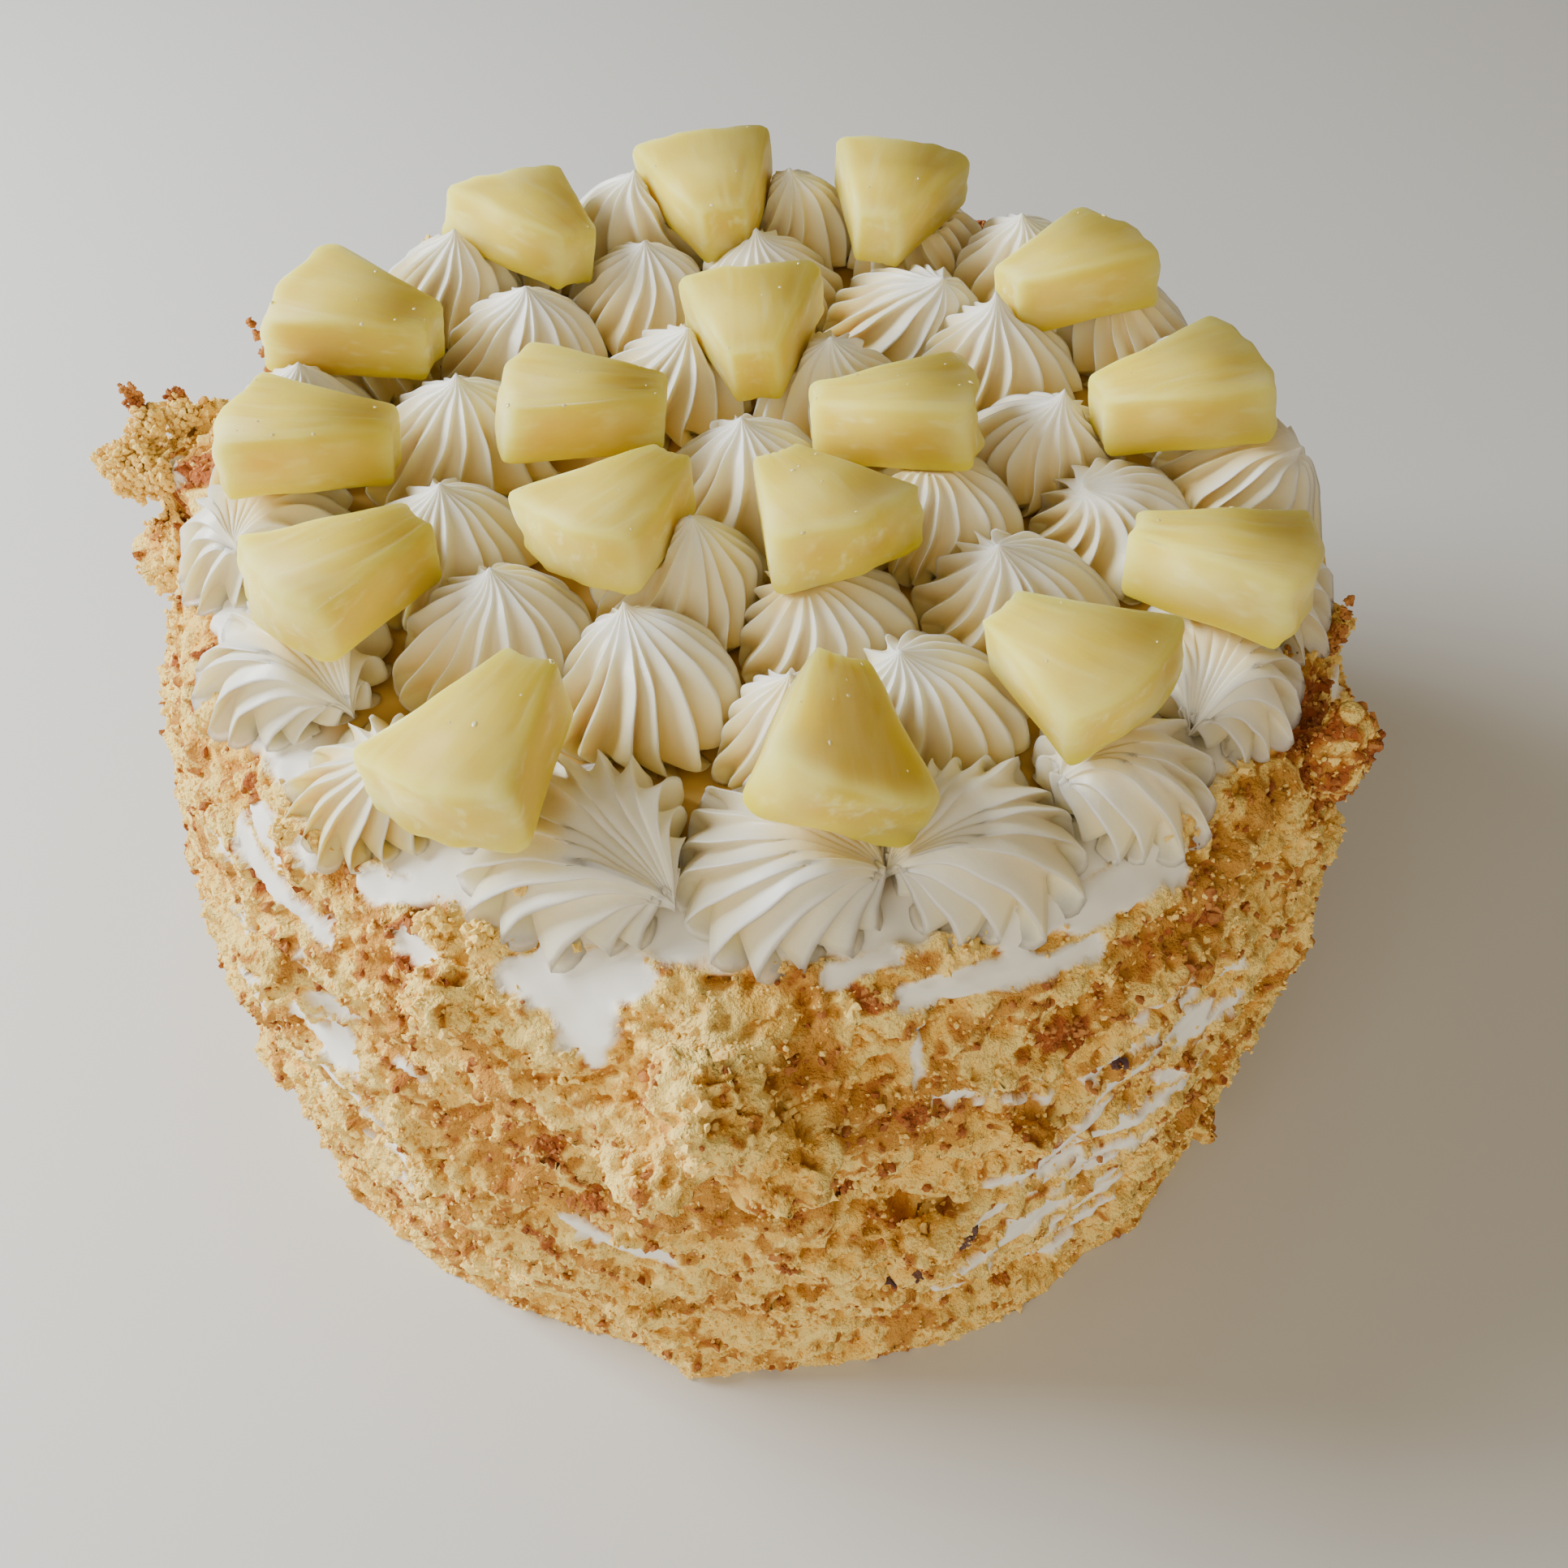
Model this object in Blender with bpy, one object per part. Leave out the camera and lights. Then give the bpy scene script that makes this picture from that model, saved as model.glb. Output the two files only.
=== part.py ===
"""Pineapple cream cake: a tall round cake coated in cream and crumbled sponge.

The top carries piped cream rosettes in rings, and wedges cut from pineapple slices
are pressed into them. The origin is the centre of the cake's flat base, +Z is up and
-Y is the side that faces the viewer. Lengths in the tables are millimetres.
"""
import math
import random
from collections import namedtuple

import bmesh
import bpy
from mathutils import Matrix, Vector, noise

MM = 0.001
GAP = 0.35 * MM

# The cake: a cream-covered round, wider at its foot, with a rounded upper edge
CAKE_TOP = 109 * MM
PROFILE = ((0, 102.2), (5, 101.4), (14, 101.0), (30, 102.2), (52, 102.6), (70, 101.6),
           (84, 99.8), (92, 97.8), (98, 95.6), (102.5, 93.0), (105, 91.0), (107, 88.0), (109, 80.0))
SIDE_SEGMENTS = 60
ROW_HEIGHTS = (0, 3.5, 10, 17, 24, 31, 38, 45, 52, 58.5, 65, 72, 79, 86, 92.5, 98.5, 103, 107, 109)
TOP_RING_RADIUS = 55 * MM

# The crumb coat: broad lumps and finer crags, fading out under the rosettes
COARSE_LUMP = (17 * MM, 3.2 * MM)
FINE_LUMP = (9 * MM, 2.7 * MM)
RELIEF_LIMIT = 3.0 * MM
RELIEF_FADE = (92 * MM, 105 * MM)

# Swellings and hollows of the coat: angle, height, half-width, half-height, depth
Swell = namedtuple("Swell", "angle height width tall depth")
SWELLS = (
    Swell(-92, 90, 9, 13, 4.5),
    Swell(-79, 50, 10, 6, 3.0),
    Swell(-86, 70, 7, 4, -5.0),
    Swell(-76, 62, 7, 4, -5.0),
    Swell(-68, 52, 6, 4, -4.0),
    Swell(-112, 96, 7, 7, 2.0),
    Swell(-118, 44, 10, 10, 2.0),
    Swell(-24, 60, 12, 16, 2.5),
    Swell(10, 30, 12, 12, 2.0),
    Swell(75, 60, 12, 14, 2.5),
    Swell(130, 76, 12, 12, 2.5),
    Swell(172, 84, 12, 12, 2.5),
    Swell(-150, 28, 12, 12, 2.0),
)

# Large crumbs and crusts stuck in the coat: angle, how far the middle stands off the
# plain side, height, radius, stretch
Crumb = namedtuple("Crumb", "angle stand height size stretch")
LARGE_CRUMBS = (
    Crumb(168, 5.5, 99, 8.5, 1.1),
    Crumb(163.5, 9.0, 105, 5.5, 1.2),
    Crumb(174, 4.5, 92, 7.5, 0.9),
    Crumb(-27, 3.0, 98, 5.5, 1.8),
    Crumb(-11, 1.5, 100, 3.6, 1.3),
    Crumb(61, 1.5, 100, 4.2, 1.0),
    Crumb(127, 2.5, 100, 5.2, 1.0),
    Crumb(152, 1.5, 100, 3.8, 1.4),
    Crumb(-93, 5.0, 97, 8.0, 1.0),
    Crumb(-88, 4.5, 86, 7.5, 0.9),
    Crumb(-97, 3.0, 83, 6.5, 1.0),
    Crumb(-115, 2.0, 100, 5.5, 1.0),
    Crumb(-77, 2.0, 54, 6.0, 0.7),
)
ROUND_CRUMB = 6
CRUMB_ROUGHNESS = 0.42
CRUMB_GRAIN = 0.8
CRUMB_NOISE_STEP = 7.3

# Smaller lumps all round: number, wander from even spacing, and the ranges they vary in
SCATTERED_CRUMBS = 11
SCATTER_SEED = 11
SCATTER_WANDER = 8
SCATTER_HEIGHT = (8, 84)
SCATTER_SIZE = (3.6, 5.4)
SCATTER_STAND = 0.25
SCATTER_STRETCH = (0.7, 1.1)

# The piped rosettes: place in polar form, base radius, height, turn of the ridges,
# and how far and in which direction the nozzle pulled the peak
Rosette = namedtuple("Rosette", "angle reach size height twist lean heading")
RIM_ROSETTES = (
    Rosette(-174, 78, 15.5, 18, 38, 10, -95),
    Rosette(-152, 76, 15.5, 18, 38, 16, -49),
    Rosette(-131, 78.5, 12.5, 12, 30, 6, -30),
    Rosette(-108, 73.5, 16.7, 18, 44, 17.7, -41),
    Rosette(-87, 73.5, 15.6, 18, 44, 14.7, -14),
    Rosette(-66, 76, 14.8, 18, -42, 14.8, -150),
    Rosette(-48.5, 77.5, 13.8, 18, -40, 10.5, -155),
    Rosette(-30, 79, 14.0, 18, -36, 14, -116),
    Rosette(-14, 79, 15.0, 18, -32, 12, -85),
    Rosette(1, 79, 15.0, 19, 34, 8, -25),
    Rosette(17, 79, 15.0, 18, 36, 3, 190),
    Rosette(33, 79, 15.5, 18, -36, 4, 210),
    Rosette(50, 79, 16.5, 19, 34, 4, 230),
    Rosette(67, 79, 15.5, 18, -38, 3, 240),
    Rosette(85, 78, 16.0, 19, 36, 4, -90),
    Rosette(107, 79, 16.5, 20, -36, 4, -70),
    Rosette(121, 80, 14.0, 17, 34, 2, -60),
    Rosette(135, 79, 16.0, 19, 38, 4, -40),
    Rosette(151, 79, 16.0, 18, -34, 3, -30),
    Rosette(168, 79, 15.5, 18, 36, 4, -10),
)
MIDDLE_ROSETTES = (
    Rosette(111, 57, 16.5, 17, 34, 1.5, -8),
    Rosette(88, 57, 16.0, 17, -36, 1.1, -158),
    Rosette(60, 54, 17.0, 17, 44, 7.5, -32),
    Rosette(38, 54, 16.5, 20, 28, 2.5, -130),
    Rosette(11, 49, 15.5, 18, -30, 2.9, -53),
    Rosette(-8, 59, 16.0, 16, 48, 7.9, -159),
    Rosette(-34, 48, 16.5, 17, 46, 4, -160),
    Rosette(-63, 55, 17.0, 16, 46, 4, 170),
    Rosette(-84, 53, 12.5, 14, 30, 2, 90),
    Rosette(-108, 47, 16.0, 18, 30, 7.6, 114),
    Rosette(-136, 51, 17.0, 18, 34, 2, 80),
    Rosette(-162, 50, 16.5, 18, 28, 1.6, 22),
    Rosette(167, 50, 17.0, 19, 28, 2.0, -8),
    Rosette(137, 56, 17.0, 17, 36, 2.3, 12),
)
INNER_ROSETTES = (
    Rosette(0, 0, 16.5, 18, 26, 1.6, 158),
    Rosette(114, 32, 16.0, 16, 34, 3.2, -38),
    Rosette(62, 28, 15.5, 18, -34, 3, -90),
    Rosette(-13, 31, 15.5, 17, 40, 3, 180),
    Rosette(-71, 34, 16.5, 16, 44, 4, 190),
    Rosette(-112, 27, 16.0, 18, 38, 3, 60),
)
RIDGES = 10
RIDGE_DEPTH = 0.2
LEAN_ROOM = 1.2
LEAN_CURVE = 1.5
PEAK_FALL = 0.45
FALL_START = 0.4
ROSETTE_LEVELS = ((0.0, 0.92), (0.20, 1.0), (0.54, 0.80), (0.82, 0.46))
DROOP_START = 85 * MM
DROOP = 0.16

# The fruit: eighths of pineapple rings, as polar place, heading of the wide end, pitch of
# the wide end, roll to the left, and size
Wedge = namedtuple("Wedge", "angle reach heading pitch roll scale")
OUTER_WEDGES = (
    Wedge(96, 70, 101, 3, 5, 1.02),
    Wedge(69, 71, 76, 3, -2, 0.98),
    Wedge(37, 69, 28, 6, 9, 0.97),
    Wedge(6, 68, 12, 9, 7, 0.98),
    Wedge(-26, 75, -20, 5, 14, 0.98),
    Wedge(-50, 68, -47, 10, -6, 0.93),
    Wedge(-80, 67, -86, 1, 26, 0.94),
    Wedge(-117, 74, -119, -1, -10, 0.99),
    Wedge(-150, 66, -140, 5, -7, 0.96),
    Wedge(-178, 68, 180, 7, -11, 0.97),
    Wedge(156, 72, 164, 7, -2, 1.01),
    Wedge(124, 70, 131, 3, -11, 0.97),
)
INNER_WEDGES = (
    Wedge(89, 26, 92, 2, 6, 0.95),
    Wedge(6, 23, 2, 4, 14, 0.99),
    Wedge(-64, 23, -62, 11, 1, 0.95),
    Wedge(-133, 28, -130, 5, -8, 0.94),
    Wedge(168, 27, 180, 6, -11, 0.97),
)
WEDGE_HEIGHT = 125.5 * MM
WEDGE_INNER_RADIUS = 10.8 * MM
WEDGE_OUTER_RADIUS = 36.8 * MM
WEDGE_ANGLE = 42.5
ARC_STEPS = 3
NARROW_STEPS = 2
WEDGE_THICKNESS = 11 * MM
WEDGE_BEVEL = 1.1 * MM
WEDGE_UNEVENNESS = 0.7 * MM
UNEVEN_RISE = 0.3
WEDGE_SEED = 300
WEDGE_SPAN = 0.75
PRESS_LENGTH = 60 * MM
PRESS_GAP = 2.2 * GAP


def clear_scene():
    for obj in list(bpy.data.objects):
        bpy.data.objects.remove(obj, do_unlink=True)


def make_material(name, colour, roughness):
    material = bpy.data.materials.new(name)
    material.use_nodes = True
    shader = material.node_tree.nodes["Principled BSDF"]
    shader.inputs["Base Color"].default_value = (*colour, 1.0)
    shader.inputs["Roughness"].default_value = roughness
    shader.inputs["Metallic"].default_value = 0.0
    material.diffuse_color = (*colour, 1.0)
    return material


def link_object(name, bm, material):
    mesh = bpy.data.meshes.new(name)
    bm.to_mesh(mesh)
    bm.free()
    obj = bpy.data.objects.new(name, mesh)
    bpy.context.scene.collection.objects.link(obj)
    if material:
        mesh.materials.append(material)
    return obj


def polar(angle, reach):
    turn = math.radians(angle)
    return Vector((reach * math.cos(turn), reach * math.sin(turn), 0.0))


def profile_radius(height):
    """Radius of the plain cream-covered side at a height."""
    level = height / MM
    for (low, start), (high, end) in zip(PROFILE, PROFILE[1:]):
        if level <= high:
            return MM * (start + (end - start) * (level - low) / (high - low))
    return MM * PROFILE[-1][1]


def relief_share(height):
    """How much of the coat's relief is left at a height: all below, none at the top edge."""
    low, high = RELIEF_FADE
    share = min(1.0, max(0.0, (high - height) / (high - low)))
    return share * share * (3 - 2 * share)


def swell_depth(angle, height):
    depth = 0.0
    for swell in SWELLS:
        across = ((angle - swell.angle + 180) % 360 - 180) / swell.width
        along = (height / MM - swell.height) / swell.tall
        depth += swell.depth * MM * math.exp(-across * across - along * along)
    return depth


def coat_relief(angle, height):
    """Lumps of crumb standing off the plain side, in metres."""
    point = polar(angle, profile_radius(height)) + Vector((0, 0, height))
    relief = 0.0
    for size, depth in (COARSE_LUMP, FINE_LUMP):
        relief += depth * noise.noise(point / size)
    return max(-RELIEF_LIMIT, min(RELIEF_LIMIT, relief)) + swell_depth(angle, height)


def crumb_place(crumb):
    height = crumb.height * MM
    return polar(crumb.angle, profile_radius(height) + crumb.stand * MM) + Vector((0, 0, height))


def extrude_ring(bm, edges):
    grown = bmesh.ops.extrude_edge_only(bm, edges=edges)["geom"]
    new_edges = [item for item in grown if isinstance(item, bmesh.types.BMEdge)]
    new_verts = [item for item in grown if isinstance(item, bmesh.types.BMVert)]
    return new_verts, new_edges


def ring_on_circle(bm, segments):
    circle = bmesh.ops.create_circle(bm, segments=segments, radius=1.0, cap_ends=False)
    return circle["verts"], list(bm.edges)


def close_to_point(bm, edges, point):
    verts, _ = extrude_ring(bm, edges)
    bmesh.ops.pointmerge(bm, verts=verts, merge_co=point)


def direction_of(vert):
    return math.degrees(math.atan2(vert.co.y, vert.co.x))


def cake_core():
    """The solid cake under its coat: rings extruded upwards, each set to the coat's surface."""
    bm = bmesh.new()
    verts, edges = ring_on_circle(bm, SIDE_SEGMENTS)
    bmesh.ops.holes_fill(bm, edges=edges, sides=SIDE_SEGMENTS)
    for row, level in enumerate(ROW_HEIGHTS):
        if row:
            verts, edges = extrude_ring(bm, edges)
        height = level * MM
        for vert in verts:
            angle = direction_of(vert)
            radius = profile_radius(height) + relief_share(height) * coat_relief(angle, height)
            vert.co = polar(angle, radius) + Vector((0, 0, height))
    verts, edges = extrude_ring(bm, edges)
    for vert in verts:
        vert.co = polar(direction_of(vert), TOP_RING_RADIUS) + Vector((0, 0, CAKE_TOP))
    close_to_point(bm, edges, Vector((0, 0, CAKE_TOP)))
    bmesh.ops.triangulate(bm, faces=bm.faces)
    bmesh.ops.recalc_face_normals(bm, faces=bm.faces)
    return bm


def crumb_lump(crumb, seed):
    """One rough crumb: a small icosphere pushed about by noise."""
    bm = bmesh.new()
    bmesh.ops.create_icosphere(bm, subdivisions=2 if crumb.size > ROUND_CRUMB else 1, radius=crumb.size * MM)
    place = crumb_place(crumb)
    for vert in bm.verts:
        grain = vert.co / (crumb.size * MM * CRUMB_GRAIN) + Vector((seed * CRUMB_NOISE_STEP, 0, 0))
        rough = noise.noise(grain)
        vert.co *= 1 + CRUMB_ROUGHNESS * rough
        vert.co.z *= crumb.stretch
        vert.co += place
    return bm


def scattered_crumbs():
    """Smaller lumps spread evenly round the side, with seeded heights."""
    rng = random.Random(SCATTER_SEED)
    crumbs = []
    for index in range(SCATTERED_CRUMBS):
        angle = 360 * index / SCATTERED_CRUMBS + rng.uniform(-SCATTER_WANDER, SCATTER_WANDER)
        height = rng.uniform(*SCATTER_HEIGHT)
        size = rng.uniform(*SCATTER_SIZE)
        stand = rng.uniform(0.0, SCATTER_STAND) * size
        crumbs.append(Crumb(angle, stand, height, size, rng.uniform(*SCATTER_STRETCH)))
    return crumbs


def make_cake_body(material):
    """The cake with its large crumbs joined on by one union."""
    body = link_object("cake_body", cake_core(), material)
    lumps = bpy.data.collections.new("lumps")
    bpy.context.scene.collection.children.link(lumps)
    for seed, crumb in enumerate(LARGE_CRUMBS + tuple(scattered_crumbs())):
        lump = link_object("lump", crumb_lump(crumb, seed), None)
        bpy.context.scene.collection.objects.unlink(lump)
        lumps.objects.link(lump)
    union = body.modifiers.new("join_crumbs", "BOOLEAN")
    union.operation = "UNION"
    union.operand_type = "COLLECTION"
    union.collection = lumps
    union.solver = "EXACT"
    bpy.context.view_layer.update()
    evaluated = body.evaluated_get(bpy.context.evaluated_depsgraph_get())
    joined = bpy.data.meshes.new_from_object(evaluated)
    body.modifiers.clear()
    body.data = joined
    for lump in list(lumps.objects):
        bpy.data.objects.remove(lump, do_unlink=True)
    bpy.data.collections.remove(lumps)
    return body


def cell_planes(index, rosettes):
    """Upright planes that keep a rosette clear of its neighbours and of the large crumbs."""
    own = rosettes[index]
    centre = polar(own.angle, own.reach * MM)
    planes = []
    for other_index, other in enumerate(rosettes):
        if other_index == index:
            continue
        step = polar(other.angle, other.reach * MM) - centre
        distance = step.length
        share = (distance ** 2 + (own.size * MM) ** 2 - (other.size * MM) ** 2) / (2 * distance)
        planes.append((step.normalized(), share - GAP / 2))
    for crumb in LARGE_CRUMBS:
        step = crumb_place(crumb) - centre
        step.z = 0
        reach = crumb.size * MM * (1 + CRUMB_ROUGHNESS)
        planes.append((step.normalized(), step.length - reach - GAP))
    return centre, planes


def clamp_to_cell(offset, start, planes):
    """Shorten a step taken from start so that start + step stays inside every plane."""
    share = 1.0
    for normal, limit in planes:
        travel = offset.dot(normal)
        room = limit - start.dot(normal)
        if travel > room:
            share = min(share, max(0.0, room / travel))
    return offset * share


def underside(reach):
    """Height of a rosette's underside: flat on the cake, drooping a little over its edge."""
    return CAKE_TOP + GAP - DROOP * max(0.0, reach - DROOP_START)


def peak_fall(rosette):
    """How far a peak that was pulled right over has sunk, as a share of its height."""
    pull = rosette.lean / rosette.size
    return PEAK_FALL * min(1.0, max(0.0, (pull - FALL_START) / FALL_START))


def rosette_mesh(rosette, centre, planes):
    """A piped star: a ridged ring extruded upwards while it turns and narrows to its peak."""
    bm = bmesh.new()
    verts, edges = ring_on_circle(bm, RIDGES * 2)
    lean = polar(rosette.heading, rosette.lean * MM)
    lean = clamp_to_cell(lean * LEAN_ROOM, Vector(), planes) / LEAN_ROOM
    fall = peak_fall(rosette)
    close_to_point(bm, edges, centre + Vector((0, 0, underside(centre.length))))
    edges = [edge for edge in bm.edges if len(edge.link_faces) == 1]
    angles = {vert: direction_of(vert) for vert in verts}
    for level, (rise, width) in enumerate(ROSETTE_LEVELS):
        if level:
            grown, edges = extrude_ring(bm, edges)
            known = dict(angles)
            angles = {}
            for vert in grown:
                below = min(known, key=lambda old: (old.co - vert.co).length_squared)
                angles[vert] = known[below]
            verts = grown
        middle = lean * rise ** LEAN_CURVE
        places = {}
        for vert in verts:
            ridge = round(angles[vert] / (180 / RIDGES)) % 2
            radius = rosette.size * MM * width * (1 - RIDGE_DEPTH * ridge)
            step = polar(angles[vert] + rosette.twist * rise, radius)
            flat = middle + clamp_to_cell(step, middle, planes)
            low = underside((centre + flat).length)
            sunk = 1 - fall * (1 - width) ** 2 * (rise > 0.2)
            height = low + rise * sunk * (CAKE_TOP + rosette.height * MM - low)
            places[vert] = centre + flat + Vector((0, 0, height))
        for vert, place in places.items():
            vert.co = place
    peak = CAKE_TOP + (1 - fall) * rosette.height * MM
    close_to_point(bm, edges, centre + lean + Vector((0, 0, peak)))
    bmesh.ops.triangulate(bm, faces=bm.faces)
    bmesh.ops.recalc_face_normals(bm, faces=bm.faces)
    return bm


def wedge_prism(wedge, seed):
    """An eighth of a pineapple ring: an arched outline given thickness, uneven, in its place."""
    rng = random.Random(WEDGE_SEED + seed)
    bm = bmesh.new()
    half = WEDGE_ANGLE / 2
    middle = (WEDGE_INNER_RADIUS + WEDGE_OUTER_RADIUS) / 2
    arc = [polar(-half + WEDGE_ANGLE * step / ARC_STEPS, WEDGE_OUTER_RADIUS) for step in range(ARC_STEPS + 1)]
    end = [polar(half - WEDGE_ANGLE * step / NARROW_STEPS, WEDGE_INNER_RADIUS) for step in range(NARROW_STEPS + 1)]
    verts = [bm.verts.new(point - Vector((middle, 0, WEDGE_THICKNESS / 2))) for point in arc + end]
    face = bm.faces.new(verts)
    grown = bmesh.ops.extrude_face_region(bm, geom=[face])["geom"]
    upper = [item for item in grown if isinstance(item, bmesh.types.BMVert)]
    bmesh.ops.translate(bm, verts=upper, vec=(0, 0, WEDGE_THICKNESS))
    for vert in bm.verts:
        shift = Vector((rng.uniform(-1, 1), rng.uniform(-1, 1), rng.uniform(-1, 1) * UNEVEN_RISE))
        vert.co += shift * WEDGE_UNEVENNESS
    place = Matrix.Translation(polar(wedge.angle, wedge.reach * MM) + Vector((0, 0, WEDGE_HEIGHT)))
    turn = Matrix.Rotation(math.radians(wedge.heading), 4, "Z")
    pitch = Matrix.Rotation(math.radians(-wedge.pitch), 4, "Y")
    roll = Matrix.Rotation(math.radians(-wedge.roll), 4, "X")
    bmesh.ops.transform(bm, matrix=place @ turn @ pitch @ roll @ Matrix.Scale(wedge.scale, 4), verts=bm.verts)
    bmesh.ops.recalc_face_normals(bm, faces=bm.faces)
    return bm


def wedge_mesh(wedge, seed):
    bm = wedge_prism(wedge, seed)
    bmesh.ops.bevel(bm, geom=bm.edges, offset=WEDGE_BEVEL, offset_type="OFFSET", segments=1,
                    profile=0.5, affect="EDGES", material=-1)
    bmesh.ops.triangulate(bm, faces=bm.faces)
    return bm


def press_cutter(name, wedge, seed):
    """The space a wedge takes as it is pressed down: its hull, grown by the gap, and all above it."""
    bm = wedge_prism(wedge, seed)
    bm.normal_update()
    points = [vert.co + vert.normal * PRESS_GAP for vert in bm.verts]
    bm.clear()
    for point in points:
        bm.verts.new(point)
        bm.verts.new(point + Vector((0, 0, PRESS_LENGTH)))
    hull = bmesh.ops.convex_hull(bm, input=bm.verts)
    bmesh.ops.delete(bm, geom=hull["geom_interior"], context="VERTS")
    bmesh.ops.recalc_face_normals(bm, faces=bm.faces)
    cutter = link_object(name, bm, None)
    cutter.hide_render = True
    cutter.display_type = "WIRE"
    return cutter


def cut_by(obj, cutter):
    cut = obj.modifiers.new(cutter.name, "BOOLEAN")
    cut.operation = "DIFFERENCE"
    cut.object = cutter
    cut.solver = "EXACT"


def make_wedges(material):
    placed = []
    for number, wedge in enumerate(OUTER_WEDGES + INNER_WEDGES, start=1):
        link_object(f"pineapple_{number:02d}", wedge_mesh(wedge, number), material)
        cutter = press_cutter(f"press_{number:02d}", wedge, number)
        placed.append((polar(wedge.angle, wedge.reach * MM), cutter))
    return placed


def make_rosettes(material, wedges):
    rosettes = RIM_ROSETTES + MIDDLE_ROSETTES + INNER_ROSETTES
    half_wedge = (WEDGE_OUTER_RADIUS - WEDGE_INNER_RADIUS) * WEDGE_SPAN
    for index, rosette in enumerate(rosettes):
        centre, planes = cell_planes(index, rosettes)
        mesh = rosette_mesh(rosette, centre, planes)
        obj = link_object(f"rosette_{index + 1:02d}", mesh, material)
        for place, cutter in wedges:
            if (place - centre).length < half_wedge + rosette.size * MM:
                cut_by(obj, cutter)


def build():
    clear_scene()
    crumb = make_material("sponge_crumb", (0.78, 0.58, 0.30), 0.85)
    cream = make_material("cream", (0.90, 0.85, 0.74), 0.45)
    fruit = make_material("pineapple", (0.86, 0.68, 0.22), 0.3)
    make_cake_body(crumb)
    wedges = make_wedges(fruit)
    make_rosettes(cream, wedges)


build()
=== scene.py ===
# %% [markdown]
# # A pineapple cream cake, dressed for its picture
# The plain solids of the cake come in as a fixed frame: one body, forty piped rosettes and
# seventeen wedges of fruit. This lesson gives each of them its finish. Everything is built
# in metres, round the centre of the cake's flat base. Sizes of small things are easier to
# read in millimetres, so a number times MM is that many millimetres.

# %% Load the plain cake
import math
import random
from collections import namedtuple

import bmesh
import bpy
import numpy as np
from mathutils import Euler, Matrix, Vector, noise


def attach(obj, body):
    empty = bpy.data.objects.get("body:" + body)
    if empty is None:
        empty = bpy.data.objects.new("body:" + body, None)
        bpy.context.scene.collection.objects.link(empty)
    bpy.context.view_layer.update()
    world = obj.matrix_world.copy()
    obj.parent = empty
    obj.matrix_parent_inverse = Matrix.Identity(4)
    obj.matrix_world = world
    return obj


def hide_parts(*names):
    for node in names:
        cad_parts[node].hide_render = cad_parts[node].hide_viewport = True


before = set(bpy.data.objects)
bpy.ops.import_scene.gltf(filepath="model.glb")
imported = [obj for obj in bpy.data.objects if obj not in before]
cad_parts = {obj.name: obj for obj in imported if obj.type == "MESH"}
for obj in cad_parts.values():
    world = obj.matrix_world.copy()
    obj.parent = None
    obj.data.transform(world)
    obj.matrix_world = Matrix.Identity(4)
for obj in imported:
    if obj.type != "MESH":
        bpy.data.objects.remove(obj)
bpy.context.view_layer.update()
MM = 0.001


# %% [markdown]
# The picture looks down on the cake at about fifty degrees, from close by, so near things
# look larger. A camera is a lens length for a square of film, a place and two turns: one
# looks down and a very small one levels the picture.

# %% Set the camera
LENS = 35.4
FILM = 36.0
NEAREST = 0.01
LOOK_DOWN = 50.3
ROLL = -0.45
CAMERA_PLACE = (0.0049, -0.1965, 0.2748)
camera_data = bpy.data.cameras.new("camera")
camera_data.lens = LENS
camera_data.sensor_width = FILM
camera_data.clip_start = NEAREST
camera = bpy.data.objects.new("camera", camera_data)
bpy.context.scene.collection.objects.link(camera)
camera.matrix_world = (
    Matrix.Translation(CAMERA_PLACE)
    @ Matrix.Rotation(math.radians(90 - LOOK_DOWN), 4, "X")
    @ Matrix.Rotation(math.radians(ROLL), 4, "Z")
)
bpy.context.scene.camera = camera
print("camera at", CAMERA_PLACE)

# %% [markdown]
# The cake stands in soft, cool daylight from a window at the upper left. A pale wall behind
# the viewer and a warm one on the right fill the shadows, and an even warm world stands for
# the rest of the room. Large area lights give soft shadows.

# %% Light the table
ROOM = (1.0, 0.85, 0.62)
ROOM_STRENGTH = 0.26
AIM = Vector((0, 0, 0.08))
world = bpy.data.worlds.new("pale_room")
world.use_nodes = True
world.node_tree.nodes["Background"].inputs["Color"].default_value = (*ROOM, 1.0)
world.node_tree.nodes["Background"].inputs["Strength"].default_value = ROOM_STRENGTH
bpy.context.scene.world = world


def soft_light(name, place, size, power, colour):
    """A square light at a place, aimed at the middle of the cake."""
    data = bpy.data.lights.new(name, "AREA")
    data.size = size
    data.energy = power
    data.color = colour
    light = bpy.data.objects.new(name, data)
    light.location = place
    light.rotation_euler = (AIM - Vector(place)).to_track_quat("-Z", "Y").to_euler()
    bpy.context.scene.collection.objects.link(light)


soft_light("window", place=(-0.75, 0.14, 0.56), size=0.45, power=17.5, colour=(0.90, 0.95, 1.0))
soft_light("pale_wall", place=(-0.35, -0.9, 0.45), size=0.9, power=6.8, colour=(1.0, 0.92, 0.75))
soft_light("warm_wall", place=(0.9, -0.35, 0.35), size=0.7, power=0.9, colour=(1.0, 0.78, 0.48))
print("lights:", [light.name for light in bpy.data.lights])

# %% [markdown]
# Small helpers come next. Soft noise gives uneven food its lumps: points that are close get
# close values. An ease is a soft step, used to fade one look into another.

# %% Noise, steps and places round the cake
def grain(spots, size, shift=0.0):
    """Soft noise from -1 to 1 at each spot, in lumps of about that size."""
    scaled = np.asarray(spots) / size + shift
    return np.array([noise.noise(spot) for spot in scaled.tolist()])


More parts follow.
